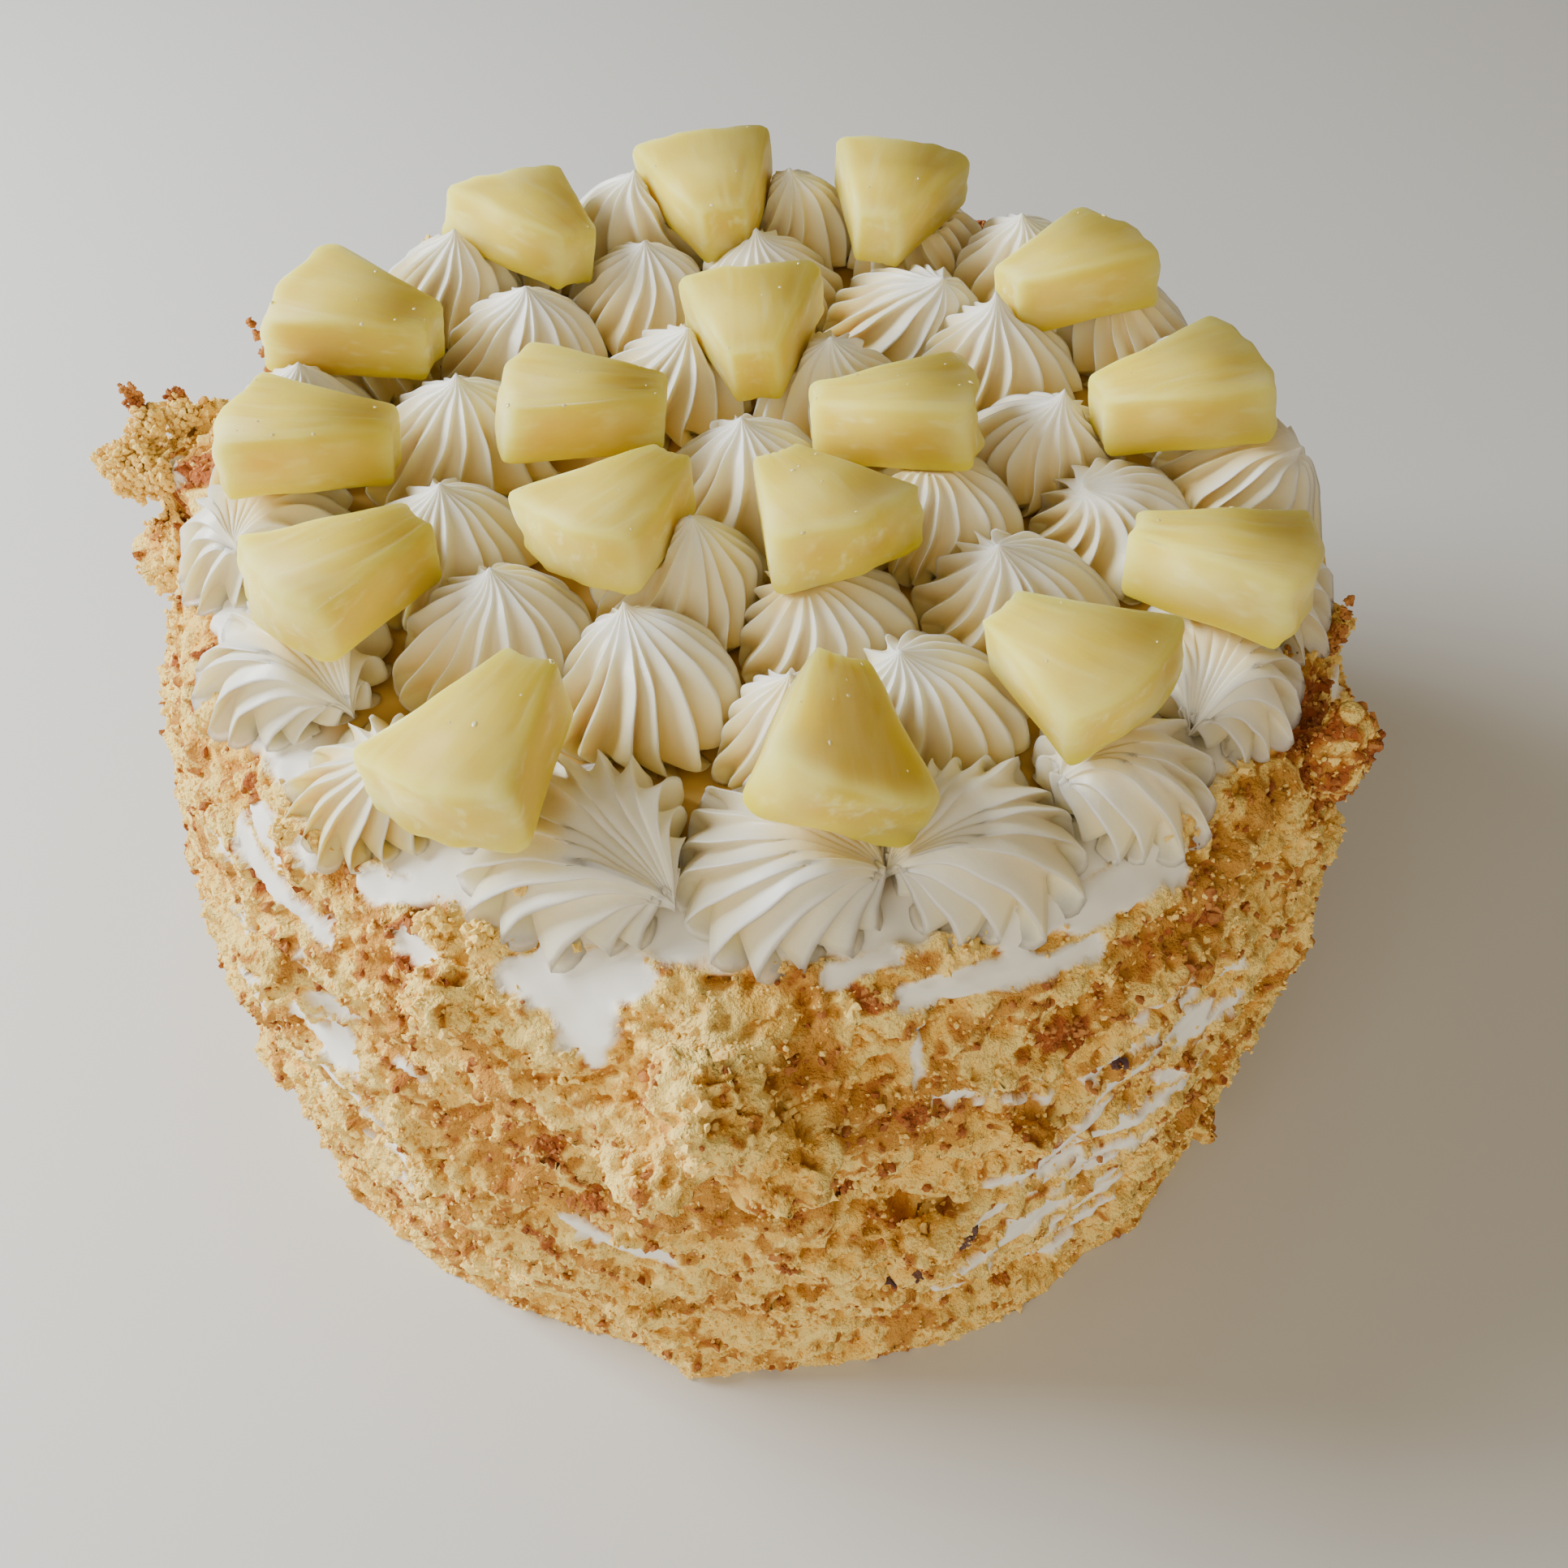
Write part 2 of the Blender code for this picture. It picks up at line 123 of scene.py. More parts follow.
def wobble(spots, size, shift, step):
    """Soft noise in all three directions, to push points about."""
    return np.column_stack([grain(spots, size, shift + axis * step) for axis in range(3)])


def ease(value, low, high):
    """0 below low, 1 above high, and a soft slope between."""
    share = np.clip((value - low) / (high - low), 0.0, 1.0)
    return share * share * (3 - 2 * share)


def polar(angle, reach):
    """The place at an angle in degrees and a distance from the middle."""
    turn = math.radians(angle)
    return Vector((reach * math.cos(turn), reach * math.sin(turn), 0.0))


def points_of(mesh):
    """A mesh's points as rows of numbers."""
    spots = np.empty(len(mesh.vertices) * 3)
    mesh.vertices.foreach_get("co", spots)
    return spots.reshape(-1, 3)


def put_points(mesh, spots):
    """Moves a mesh's points to these spots."""
    mesh.vertices.foreach_set("co", np.asarray(spots).ravel())
    mesh.update()


def paint(mesh, name, values):
    """Keeps one number a point on the mesh, for a finish to read."""
    layer = mesh.attributes.new(name, "FLOAT", "POINT")
    layer.data.foreach_set("value", np.asarray(values, dtype=np.float32))


# %% [markdown]
# A finish is a small network of nodes that ends in the Principled shader. A few helpers
# keep the networks short: they add a node and set or link its inputs, read what is painted
# on the points, blend two colours, and read soft noise in true size, so a size in
# millimetres means just that.

# %% Helpers for finishes
def new_finish(name, roughness):
    """A new material, with its network of nodes and the shader at the end of it."""
    material = bpy.data.materials.new(name)
    material.use_nodes = True
    shader = material.node_tree.nodes["Principled BSDF"]
    shader.inputs["Roughness"].default_value = roughness
    return material, material.node_tree, shader


def feed(tree, socket, value):
    """Sets an input to a value, or links it where the value is another node's output."""
    if isinstance(value, bpy.types.NodeSocket):
        tree.links.new(value, socket)
    else:
        socket.default_value = (*value, 1.0) if socket.type == "RGBA" else value


def add_node(tree, kind, settings=None, **inputs):
    """Adds a shader node. Its inputs are named with _ for a space."""
    made = tree.nodes.new("ShaderNode" + kind)
    for key, value in (settings or {}).items():
        setattr(made, key, value)
    for key, value in inputs.items():
        feed(tree, made.inputs[key.replace("_", " ")], value)
    return made


def painted(tree, name, output="Fac"):
    """A number or a direction that is kept on the piece's points."""
    return add_node(tree, "Attribute", {"attribute_name": name}).outputs[output]


def blend(tree, share, first, second):
    """One colour fading into another as share goes from 0 to 1."""
    mix = add_node(tree, "Mix", {"data_type": "RGBA"})
    for number, value in ((0, share), (6, first), (7, second)):
        feed(tree, mix.inputs[number], value)
    return mix.outputs[2]


def figure(tree, operation, first, second):
    """The sum or the difference of two numbers."""
    made = add_node(tree, "Math", {"operation": operation})
    feed(tree, made.inputs[0], first)
    feed(tree, made.inputs[1], second)
    return made.outputs[0]


def between(tree, value, low, high):
    """A number stretched so that low becomes 0 and high becomes 1, with soft ends."""
    step = add_node(tree, "MapRange", {"interpolation_type": "SMOOTHSTEP"}, Value=value)
    step.inputs["From Min"].default_value = low
    step.inputs["From Max"].default_value = high
    return step.outputs["Result"]


def speckle(tree, size, detail=2.0, place=None):
    """Noise whose lumps are about size across, on the piece's own place."""
    if place is None:
        place = add_node(tree, "TexCoord").outputs["Object"]
    made = add_node(tree, "TexNoise", Vector=place, Scale=1 / size, Detail=detail)
    return made.outputs["Fac"]


def raise_bumps(tree, shader, height, depth, strength=1.0):
    """Fine relief that only the shading shows, at most as deep as depth."""
    bump = add_node(tree, "Bump", Height=height, Distance=depth, Strength=strength)
    tree.links.new(bump.outputs["Normal"], shader.inputs["Normal"])


def set_glow(shader, weight, radius, scale):
    """Light that sinks in and comes out again, as in cream, sponge and fruit."""
    shader.inputs["Subsurface Weight"].default_value = weight
    shader.inputs["Subsurface Radius"].default_value = radius
    shader.inputs["Subsurface Scale"].default_value = scale


# %% [markdown]
# Whipped cream is off-white and satin, and light glows through its thin fins, so shadows
# in it turn warm. That warm shade is also painted in: between the fins and low on each
# rosette the cream is more yellow, and close to the fruit the yellow is partly juice and
# partly painted shade and light that comes through the fruit. How much is painted on its
# points as an attribute. A plain white would look like plaster, so light is let into it,
# and a little fine bump keeps it from looking like plastic.

# %% The cream finish
CREAM_SHADED = (0.89, 0.87, 0.78)
CREAM_BRIGHT = (0.94, 0.93, 0.87)
CREAM_SHADE_AND_JUICE = (0.88, 0.70, 0.28)


def make_cream():
    material, tree, shader = new_finish("whipped_cream", roughness=0.36)
    tone = blend(tree, speckle(tree, 14 * MM), CREAM_SHADED, CREAM_BRIGHT)
    # Painted shade: a yellower tone between the fins and low on the rosettes; near the fruit it is partly
    # juice.
    tone = blend(tree, painted(tree, "shade_and_juice"), tone, CREAM_SHADE_AND_JUICE)
    tree.links.new(tone, shader.inputs["Base Color"])
    raise_bumps(tree, shader, speckle(tree, 1.2 * MM, detail=4.0), depth=0.08 * MM)
    set_glow(shader, weight=0.6, radius=(1.0, 0.8, 0.42), scale=2.0 * MM)
    shader.inputs["Specular IOR Level"].default_value = 0.45
    return material


cream = make_cream()
print("made", cream.name)

# %% [markdown]
# Tinned pineapple is a wet, see-through yellow with fibres that run out from the ring's
# middle and milky patches inside. Light goes so far into it that the cut edges hardly show:
# besides a wide glow, the shading follows a rounder form than the block, kept on its points
# as the attribute soft. The fibres follow each wedge, so they read the wedge's own place,
# kept on its points too. So are the three shares that make its upper face a darker, deeper
# yellow, which is painted shade, its edges paler and its wide end milky in patches, and its
# foot and cut sides a deeper gold, which is painted light that comes through the fruit,
# with random patches as well.

# %% The fruit finish
FLESH = (0.76, 0.60, 0.10)
CLOUDY_FLESH = (0.83, 0.71, 0.22)
FIBRES = (0.87, 0.78, 0.32)
SHADED_TOP_FLESH = (0.64, 0.50, 0.055)
GOLDEN_GLOW = (0.82, 0.62, 0.045)
MILKY_EDGE = (0.87, 0.77, 0.30)
JUICE = (0.80, 0.68, 0.26)
PALE_JUICE = (0.86, 0.78, 0.40)
ALONG_FIBRES = (0.12, 1.0, 1.0)
SOFT_SHARE = 0.85


def soften(tree):
    """The direction the shading follows: mostly the rounder form's, partly the cut face's."""
    share = add_node(tree, "Mix", {"data_type": "VECTOR"})
    share.inputs["Factor"].default_value = SOFT_SHARE
    tree.links.new(add_node(tree, "NewGeometry").outputs["Normal"], share.inputs[4])
    tree.links.new(painted(tree, "soft", "Vector"), share.inputs[5])
    rounded = add_node(tree, "VectorMath", {"operation": "NORMALIZE"})
    tree.links.new(share.outputs[1], rounded.inputs[0])
    return rounded.outputs[0]


def make_fruit():
    material, tree, shader = new_finish("wet_pineapple", roughness=0.42)
    own = painted(tree, "fruit_place", "Vector")
    along = add_node(tree, "Mapping", Vector=own, Scale=ALONG_FIBRES).outputs["Vector"]
    fibre = speckle(tree, 2.2 * MM, place=along)
    cloud = speckle(tree, 11 * MM, detail=1.0, place=own)
    tone = blend(tree, between(tree, cloud, 0.42, 0.70), FLESH, CLOUDY_FLESH)
    tone = blend(tree, between(tree, fibre, 0.50, 0.78), tone, FIBRES)
    # Painted shade: the upper face is a darker, deeper yellow.
    tone = blend(tree, painted(tree, "top_shade"), tone, SHADED_TOP_FLESH)
    # Painted light that comes through the fruit: gold at the foot and on the cut sides, with random patches.
    tone = blend(tree, painted(tree, "glow_and_patches"), tone, GOLDEN_GLOW)
    tone = blend(tree, painted(tree, "thin"), tone, MILKY_EDGE)
    tree.links.new(tone, shader.inputs["Base Color"])
    bump = add_node(tree, "Bump", Height=fibre, Distance=0.12 * MM, Normal=soften(tree))
    tree.links.new(bump.outputs["Normal"], shader.inputs["Normal"])
    set_glow(shader, weight=1.0, radius=(1.0, 0.82, 0.22), scale=12 * MM)
    shader.inputs["Subsurface Anisotropy"].default_value = 0.4
    shader.inputs["IOR"].default_value = 1.36
    shader.inputs["Specular IOR Level"].default_value = 0.25
    return material


def make_juice():
    """Drops of juice: they take the fruit's tone and catch the window as small sparkles."""
    material, tree, shader = new_finish("pineapple_juice", roughness=0.03)
    tone = blend(tree, speckle(tree, 4 * MM), JUICE, PALE_JUICE)
    tree.links.new(tone, shader.inputs["Base Color"])
    shader.inputs["Coat Weight"].default_value = 1.0
    return material


fruit = make_fruit()
juice = make_juice()
print("made", fruit.name, "and", juice.name)

# %% [markdown]
# Crumbled sponge is dry and dull. Fresh faces are pale, with deeper gold patches, and the
# bits from the outside of the sponge are baked brown. On the coat the low places are a deeper
# gold and the pits a dark orange, which is painted shade. The coat under the loose crumbs
# fades into cream where the crumbs didn't stick, by a number painted on its points.

# %% The sponge finishes
PALE = (1.0, 0.74, 0.23)
GOLDEN = (0.93, 0.56, 0.11)
TOASTED = (0.60, 0.28, 0.05)
BAKED = (0.40, 0.11, 0.025)
FRESH = (0.90, 0.62, 0.20)
CRUST = (0.55, 0.24, 0.07)
DARK_CRUST = (0.30, 0.09, 0.025)
BURNT = (0.16, 0.09, 0.08)
DARK_BURNT = (0.07, 0.035, 0.04)
PORE = (0.70, 0.36, 0.07)
PIT_SHADE = (0.55, 0.21, 0.03)
SMEAR = (0.95, 0.93, 0.86)
GAP_SHADE_AND_JUICE = (0.62, 0.38, 0.08)
DRY_ROUGHNESS = 0.88
SMEAR_ROUGHNESS = 0.45


def make_sponge(name, light, dark):
    material, tree, shader = new_finish(name, roughness=0.85)
    patches = between(tree, speckle(tree, 3 * MM, detail=3.0), 0.35, 0.65)
    tree.links.new(blend(tree, patches, dark, light), shader.inputs["Base Color"])
    raise_bumps(tree, shader, speckle(tree, 0.7 * MM, detail=3.0), depth=0.3 * MM)
    shader.inputs["Specular IOR Level"].default_value = 0.2
    return material


def make_coat_finish():
    material, tree, shader = new_finish("crumb_coat", roughness=0.8)
    creamy, baked = painted(tree, "creamy"), painted(tree, "baked")
    fine = speckle(tree, 1.3 * MM, detail=4.0)
    grit = speckle(tree, 0.5 * MM)
    # Painted shade: the less raised a point, the deeper gold it is.
    sponge = blend(tree, between(tree, painted(tree, "raised"), 0.05, 0.7), GOLDEN, PALE)
    sponge = blend(tree, between(tree, fine, 0.56, 0.70), sponge, PORE)
    # Painted shade: the dark pit colour in pores, recesses and under ledges.
    sponge = blend(tree, painted(tree, "recess_shade"), sponge, PIT_SHADE)
    sponge = blend(tree, between(tree, baked, 0.0, 0.5), sponge, TOASTED)
    sponge = blend(tree, between(tree, baked, 0.5, 1.0), sponge, BAKED)
    # The cream on top of the cake is a darker gold: painted shade in the gaps, partly juice.
    smear = blend(tree, painted(tree, "juice_and_gap_shade"), SMEAR, GAP_SHADE_AND_JUICE)
    tree.links.new(blend(tree, creamy, sponge, smear), shader.inputs["Base Color"])
    rough = add_node(tree, "MapRange", Value=creamy, To_Min=DRY_ROUGHNESS, To_Max=SMEAR_ROUGHNESS)
    tree.links.new(rough.outputs["Result"], shader.inputs["Roughness"])
    crumbly = figure(tree, "SUBTRACT", 1.0, creamy)
    raise_bumps(tree, shader, figure(tree, "ADD", fine, grit), 0.55 * MM, strength=crumbly)
    shader.inputs["Specular IOR Level"].default_value = 0.25
    return material


coat_finish = make_coat_finish()
pale_sponge = make_sponge("pale_sponge", PALE, FRESH)
golden_sponge = make_sponge("golden_sponge", FRESH, GOLDEN)
baked_crust = make_sponge("baked_crust", CRUST, DARK_CRUST)
dark_crust = make_sponge("dark_crust", BURNT, DARK_BURNT)
for finish in (coat_finish, pale_sponge, golden_sponge, baked_crust, dark_crust):
    print("made", finish.name)

# %% [markdown]
# Every finished piece is a mesh at the origin that rides on the cake, and takes the place
# of the plain node it dresses. One helper does this for all of them.

# %% Finish a piece
def finish_piece(name, mesh, material, slot, *plain, smooth=True):
    """Makes a piece of a mesh, with its finish, and lets it replace the plain nodes."""
    mesh.name = name
    if smooth:
        mesh.shade_smooth()
    mesh.materials.append(material)
    piece = bpy.data.objects.new(name, mesh)
    bpy.context.scene.collection.objects.link(piece)
    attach(piece, "root")
    if plain:
        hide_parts(*plain)
    return piece


def mesh_of(bm):
    """The mesh that a bmesh describes. The bmesh is freed."""
    mesh = bpy.data.meshes.new("shape")
    bm.to_mesh(mesh)
    bm.free()
    return mesh


# %% [markdown]
# The wedges are eighths of pineapple rings. Each lies in its own place: round the cake,
# turned, tipped up at its wide end and rolled. The same places say where the cream under
# them is pressed down, so they come before the rosettes.

# %% Where the fruit lies
Wedge = namedtuple("Wedge", "angle reach heading pitch roll scale")
WEDGES = tuple(Wedge(*row) for row in (
    (96, 70, 101, 3, 5, 1.02), (69, 71, 76, 3, -2, 0.98), (37, 69, 28, 6, 9, 0.97),
    (6, 68, 12, 9, 7, 0.98), (-26, 75, -20, 5, 14, 0.98), (-50, 68, -47, 10, -6, 0.93),
    (-80, 67, -86, 1, 26, 0.94), (-117, 74, -119, -1, -10, 0.99), (-150, 66, -140, 5, -7, 0.96),
    (-178, 68, 180, 7, -11, 0.97), (156, 72, 164, 7, -2, 1.01), (124, 70, 131, 3, -11, 0.97),
    (89, 26, 92, 2, 6, 0.95), (6, 23, 2, 4, 14, 0.99), (-64, 23, -62, 11, 1, 0.95),
    (-133, 28, -130, 5, -8, 0.94), (168, 27, 180, 6, -11, 0.97),
))
WEDGE_HEIGHT = 125.5
WEDGE_ENDS = (10.8, 36.8)
WEDGE_ANGLE = 42.5
WEDGE_THICKNESS = 11.0
HALF_WEDGE = np.array(((WEDGE_ENDS[1] - WEDGE_ENDS[0]) / 2, 9.0, WEDGE_THICKNESS / 2))
MIDDLE = sum(WEDGE_ENDS) / 2


def wedge_place(wedge):
    """The matrix that carries a wedge, drawn flat in millimetres, to its place."""
    spot = polar(wedge.angle, wedge.reach) + Vector((0, 0, WEDGE_HEIGHT))
    turn = Matrix.Rotation(math.radians(wedge.heading), 4, "Z")
    pitch = Matrix.Rotation(math.radians(-wedge.pitch), 4, "Y")
    roll = Matrix.Rotation(math.radians(-wedge.roll), 4, "X")
    shrink = Matrix.Scale(MM, 4)
    return shrink @ Matrix.Translation(spot) @ turn @ pitch @ roll @ Matrix.Scale(wedge.scale, 4)


def carry(matrix, spots):
    """Spots taken along by a matrix."""
    turn = np.array(matrix.to_3x3())
    return np.asarray(spots) @ turn.T + np.array(matrix.translation)


places = [wedge_place(wedge) for wedge in WEDGES]
print("places for", len(places), "wedges")

# %% [markdown]
# A wedge starts as a cube cut into a fine grid. Its points are first drawn in at the edges,
# which rounds them, and the block is then bent into a piece of a ring: one side becomes the
# distance from the ring's middle and another the angle. An outline pulled up into a block
# would be simpler, but only a fine grid can take what comes next: noise makes the knife
# cuts uneven and the wide end ragged, and fine ridges follow the fibres.

# %% Round a cube and bend it
WEDGE_CUTS = 25
EDGE_ROUND = 1.7


def cube_grid(cuts):
    """A cube two wide, with each edge cut so many times."""
    bm = bmesh.new()
    bmesh.ops.create_cube(bm, size=2.0)
    bmesh.ops.subdivide_edges(bm, edges=bm.edges, cuts=cuts, use_grid_fill=True)
    return mesh_of(bm)


def round_block(spots, half, edge):
    """Points of a cube's skin moved to a box of those half sizes with rounded edges."""
    skin = spots * half
    core = np.clip(skin, edge - half, half - edge)
    out = skin - core
    return core + out / np.linalg.norm(out, axis=1, keepdims=True) * edge


def bend_to_ring(spots, half):
    """One side becomes the distance from the ring's middle and another the angle."""
    reach = MIDDLE + spots[:, 0]
    angle = np.radians(WEDGE_ANGLE / 2) * spots[:, 1] / half[1]
    return np.column_stack((reach * np.cos(angle) - MIDDLE, reach * np.sin(angle), spots[:, 2]))


print("a wedge has", (WEDGE_CUTS + 1) ** 2 * 6, "squares")

# %% Make the cuts uneven
def roughen_block(cube, block, shift):
    """Makes the wide end ragged, the faces wavy and the skin finely ridged along the fibres."""
    wide = ease(cube[:, 0], 0.75, 1.0)
    block[:, 0] += wide * (0.9 * grain(block, 3.5, shift) + 1.3 * grain(block, 9.0, shift + 5))
    block[:, 1] *= 1 + 0.05 * grain(block * (1, 0, 0), 12.0, shift + 9)
    waves = 0.5 * grain(block, 9.0, shift + 3) + 0.25 * grain(block * (0.2, 1, 1), 1.6, shift)
    block[:, 2] += ease(np.abs(cube[:, 2]), 0.9, 1.0) * waves
    return block + 0.18 * wobble(block * (0.25, 1, 1), 2.2, shift, 31)


# %% [markdown]
# What the finish reads is painted on the points: the place in the wedge, the direction of
# the rounder form, and three shares. A cube's own coordinates say where the upper face, the
# edges and the foot are, however the block is bent.

# %% Cut the fruit
TOP_SHADE_SHARE = 0.6
MILKY_SHARE = 0.38
EDGE_SHARE = 0.42
SIDE_SHARE = 0.2
FOOT_SHARE = 0.8
PATCHY_SHARE = 0.6
SEED_STEP = 17.3
ROUNDER = np.array((1 / 13, 1 / 11, 1 / 6))


def paint_flesh(mesh, cube, flat, shift):
    """Paints the painted shade on the upper face, how pale the edges and how milky the wide end
    are, and the painted light that makes the foot and cut sides gold, with random patches.
    """
    near_edge = np.sort(np.abs(cube), axis=1)[:, 1]
    cloudy = ease(grain(flat, 8.0, shift + 7), -0.1, 0.4)
    milky = MILKY_SHARE * ease(cube[:, 0], 0.2, 1.0) * cloudy
    thin = np.clip(EDGE_SHARE * ease(near_edge, 0.72, 1.0) + milky, 0, 1)
    side_face = SIDE_SHARE * ease(np.abs(cube[:, 1]), 0.55, 1.0)
    foot = FOOT_SHARE * ease(-cube[:, 2], 0.3, 1.0)
    patches = PATCHY_SHARE * grain(flat, 9.0, shift + 2)
    # Painted shade on the upper face.
    paint(mesh, "top_shade", TOP_SHADE_SHARE * ease(cube[:, 2], 0.5, 1.0))
    paint(mesh, "thin", thin * ease(cube[:, 2], -0.9, 0.0))
    # Painted light through the fruit: gold at the foot and the cut sides, with random patches.
    paint(mesh, "glow_and_patches", np.clip(side_face + foot + patches, 0, 1))


def paint_direction(mesh, name, directions):
    """Keeps a place or a direction for each point on the mesh, for a finish to read."""
    layer = mesh.attributes.new(name, "FLOAT_VECTOR", "POINT")
    layer.data.foreach_set("vector", directions.ravel())


def make_wedge(number, place):
    """One wedge of fruit in its place, with what its finish reads."""
    mesh = cube_grid(WEDGE_CUTS)
    cube = points_of(mesh)
    shift = SEED_STEP * number
    block = roughen_block(cube, round_block(cube, HALF_WEDGE, EDGE_ROUND), shift)
    flat = bend_to_ring(block, HALF_WEDGE)
    put_points(mesh, carry(place, flat))
    rounder = flat * ROUNDER
    rounder /= np.linalg.norm(rounder, axis=1, keepdims=True)
    paint_direction(mesh, "fruit_place", (flat + shift * 3) * MM)
    paint_direction(mesh, "soft", rounder @ np.array(place.to_3x3().normalized()).T)
    paint_flesh(mesh, cube, flat, shift)
    return mesh


wedges = []
for number, place in enumerate(places, start=1):
    mesh = make_wedge(number, place)
    plain = f"pineapple_{number:02d}"
    wedges.append(finish_piece(f"fruit_wedge_{number:02d}", mesh, fruit, "pineapple", plain))
print("cut", len(WEDGES), "wedges")

# %% [markdown]
# A few drops of juice stand on the fruit. Each is a small ball, flattened and sunk halfway
# into the wedge at one of its points. They lie by chance on all that faces up.

# %% Let the juice stand in drops
FACING_UP = 0.55
SMALL_DROP = 0.2
DROP_GROWTH = 0.35
DROP_HEIGHT = 0.35
rng = random.Random(12)
drops_bm = bmesh.new()
drop_count = 0
for wedge in wedges:
    facing = [vert for vert in wedge.data.vertices if vert.normal.z > FACING_UP]
    for _ in range(rng.randint(3, 9)):
        vert = rng.choice(facing)
        size = MM * (SMALL_DROP + DROP_GROWTH * rng.random() ** 3)
        lie = vert.normal.to_track_quat("Z", "Y").to_matrix().to_4x4()
        made = bmesh.ops.create_icosphere(drops_bm, subdivisions=2, radius=size)["verts"]
        squash = Matrix.Diagonal((1.0, rng.uniform(0.5, 1.0), DROP_HEIGHT, 1.0))
        bmesh.ops.transform(drops_bm, matrix=Matrix.Translation(vert.co) @ lie @ squash, verts=made)
        drop_count += 1
print("drops of juice:", drop_count)
finish_piece("juice_drops", mesh_of(drops_bm), juice, "pineapple")

# %% [markdown]
# A rosette is piped through a star nozzle: thin fins stand out round a soft middle, turn as
# the hand turns, and run together at a peak that the nozzle pulls to one side. On the rim
# the peaks were pulled right over, so those look like fans. Each row says where a rosette
# stands, how wide and high it is, how far its fins turn, and how far and which way its peak
# was pulled.

# %% Where the rosettes stand
Rosette = namedtuple("Rosette", "angle reach size height twist lean heading")
ROSETTES = tuple(Rosette(*row) for row in (
    (-174, 78, 15.5, 18, 38, 10, -95), (-152, 76, 15.5, 18, 38, 16, -49),
    (-131, 78.5, 12.5, 12, 30, 6, -30), (-108, 73.5, 16.7, 18, 44, 17.7, -41),
    (-87, 73.5, 15.6, 18, 44, 14.7, -14), (-66, 76, 14.8, 18, -42, 14.8, -150),
    (-48.5, 77.5, 13.8, 18, -40, 10.5, -155), (-30, 79, 14.0, 18, -36, 14, -116),
    (-14, 79, 15.0, 18, -32, 12, -85), (1, 79, 15.0, 19, 34, 8, -25), (17, 79, 15.0, 18, 36, 3, 190),
    (33, 79, 15.5, 18, -36, 4, 210), (50, 79, 16.5, 19, 34, 4, 230), (67, 79, 15.5, 18, -38, 3, 240),
    (85, 78, 16.0, 19, 36, 4, -90), (107, 79, 16.5, 20, -36, 4, -70), (121, 80, 14.0, 17, 34, 2, -60),
    (135, 79, 16.0, 19, 38, 4, -40), (151, 79, 16.0, 18, -34, 3, -30), (168, 79, 15.5, 18, 36, 4, -10),
    (111, 57, 16.5, 17, 34, 1.5, -8), (88, 57, 16.0, 17, -36, 1.1, -158),
    (60, 54, 17.0, 17, 44, 7.5, -32), (38, 54, 16.5, 20, 28, 2.5, -130),
    (11, 49, 15.5, 18, -30, 2.9, -53), (-8, 59, 16.0, 16, 48, 7.9, -159),
    (-34, 48, 16.5, 17, 46, 4, -160), (-63, 55, 17.0, 16, 46, 4, 170), (-84, 53, 12.5, 14, 30, 2, 90),
    (-108, 47, 16.0, 18, 30, 7.6, 114), (-136, 51, 17.0, 18, 34, 2, 80),
    (-162, 50, 16.5, 18, 28, 1.6, 22), (167, 50, 17.0, 19, 28, 2.0, -8),
    (137, 56, 17.0, 17, 36, 2.3, 12), (0, 0, 16.5, 18, 26, 1.6, 158), (114, 32, 16.0, 16, 34, 3.2, -38),
    (62, 28, 15.5, 18, -34, 3, -90), (-13, 31, 15.5, 17, 40, 3, 180), (-71, 34, 16.5, 16, 44, 4, 190),
    (-112, 27, 16.0, 18, 38, 3, 60),
))
CAKE_TOP = 109.0
print("rosettes:", len(ROSETTES))

# %% [markdown]
# Rosettes are piped so close that they meet. Cutting them apart would leave flat walls, so
# each keeps to its own side of an upright plane, and its fins are pushed back softly.

# %% Where rosettes meet
TOUCH = 0.35
FREE_SHARE = 0.78
REACH_MARGIN = 4


def neighbours(index):
    """Upright planes where a rosette meets the ones beside it."""
    own = ROSETTES[index]
    centre = polar(own.angle, own.reach)
    planes = []
    for other in ROSETTES[:index] + ROSETTES[index + 1:]:
        step = polar(other.angle, other.reach) - centre
        far = step.length
        if far < own.size + other.size + REACH_MARGIN:
            room = (far ** 2 + own.size ** 2 - other.size ** 2) / (2 * far)
            planes.append((np.array(step.normalized())[:2], room + TOUCH))
    return np.array(centre)[:2], planes


def squeeze(flat, planes):
    """Fins that reach a neighbour are pushed back softly, never cut off."""
    for normal, room in planes:
        travel = flat @ normal
        soft = FREE_SHARE * room
        over = np.maximum(0.0, travel - soft)
        kept = soft + (room - soft) * (1 - np.exp(-over / (room - soft)))
        flat = flat + np.outer(np.where(travel > soft, kept - travel, 0.0), normal)
    return flat


for index, rosette in enumerate(ROSETTES):
    if rosette.reach == 0:
        print("the middle rosette meets", len(neighbours(index)[1]), "others")

# %% [markdown]
# The skin of a rosette is a flat grid rolled up: one side of the grid goes round, the other
# runs from the foot over the shoulder to the peak. A star swept up a spiral would be the
# usual way. Here each fin needs its own length and has to give way to its neighbours, so
# the grid operator makes the faces and the points are moved one by one.

# %% Roll up a skin
SHOULDER = 1.9


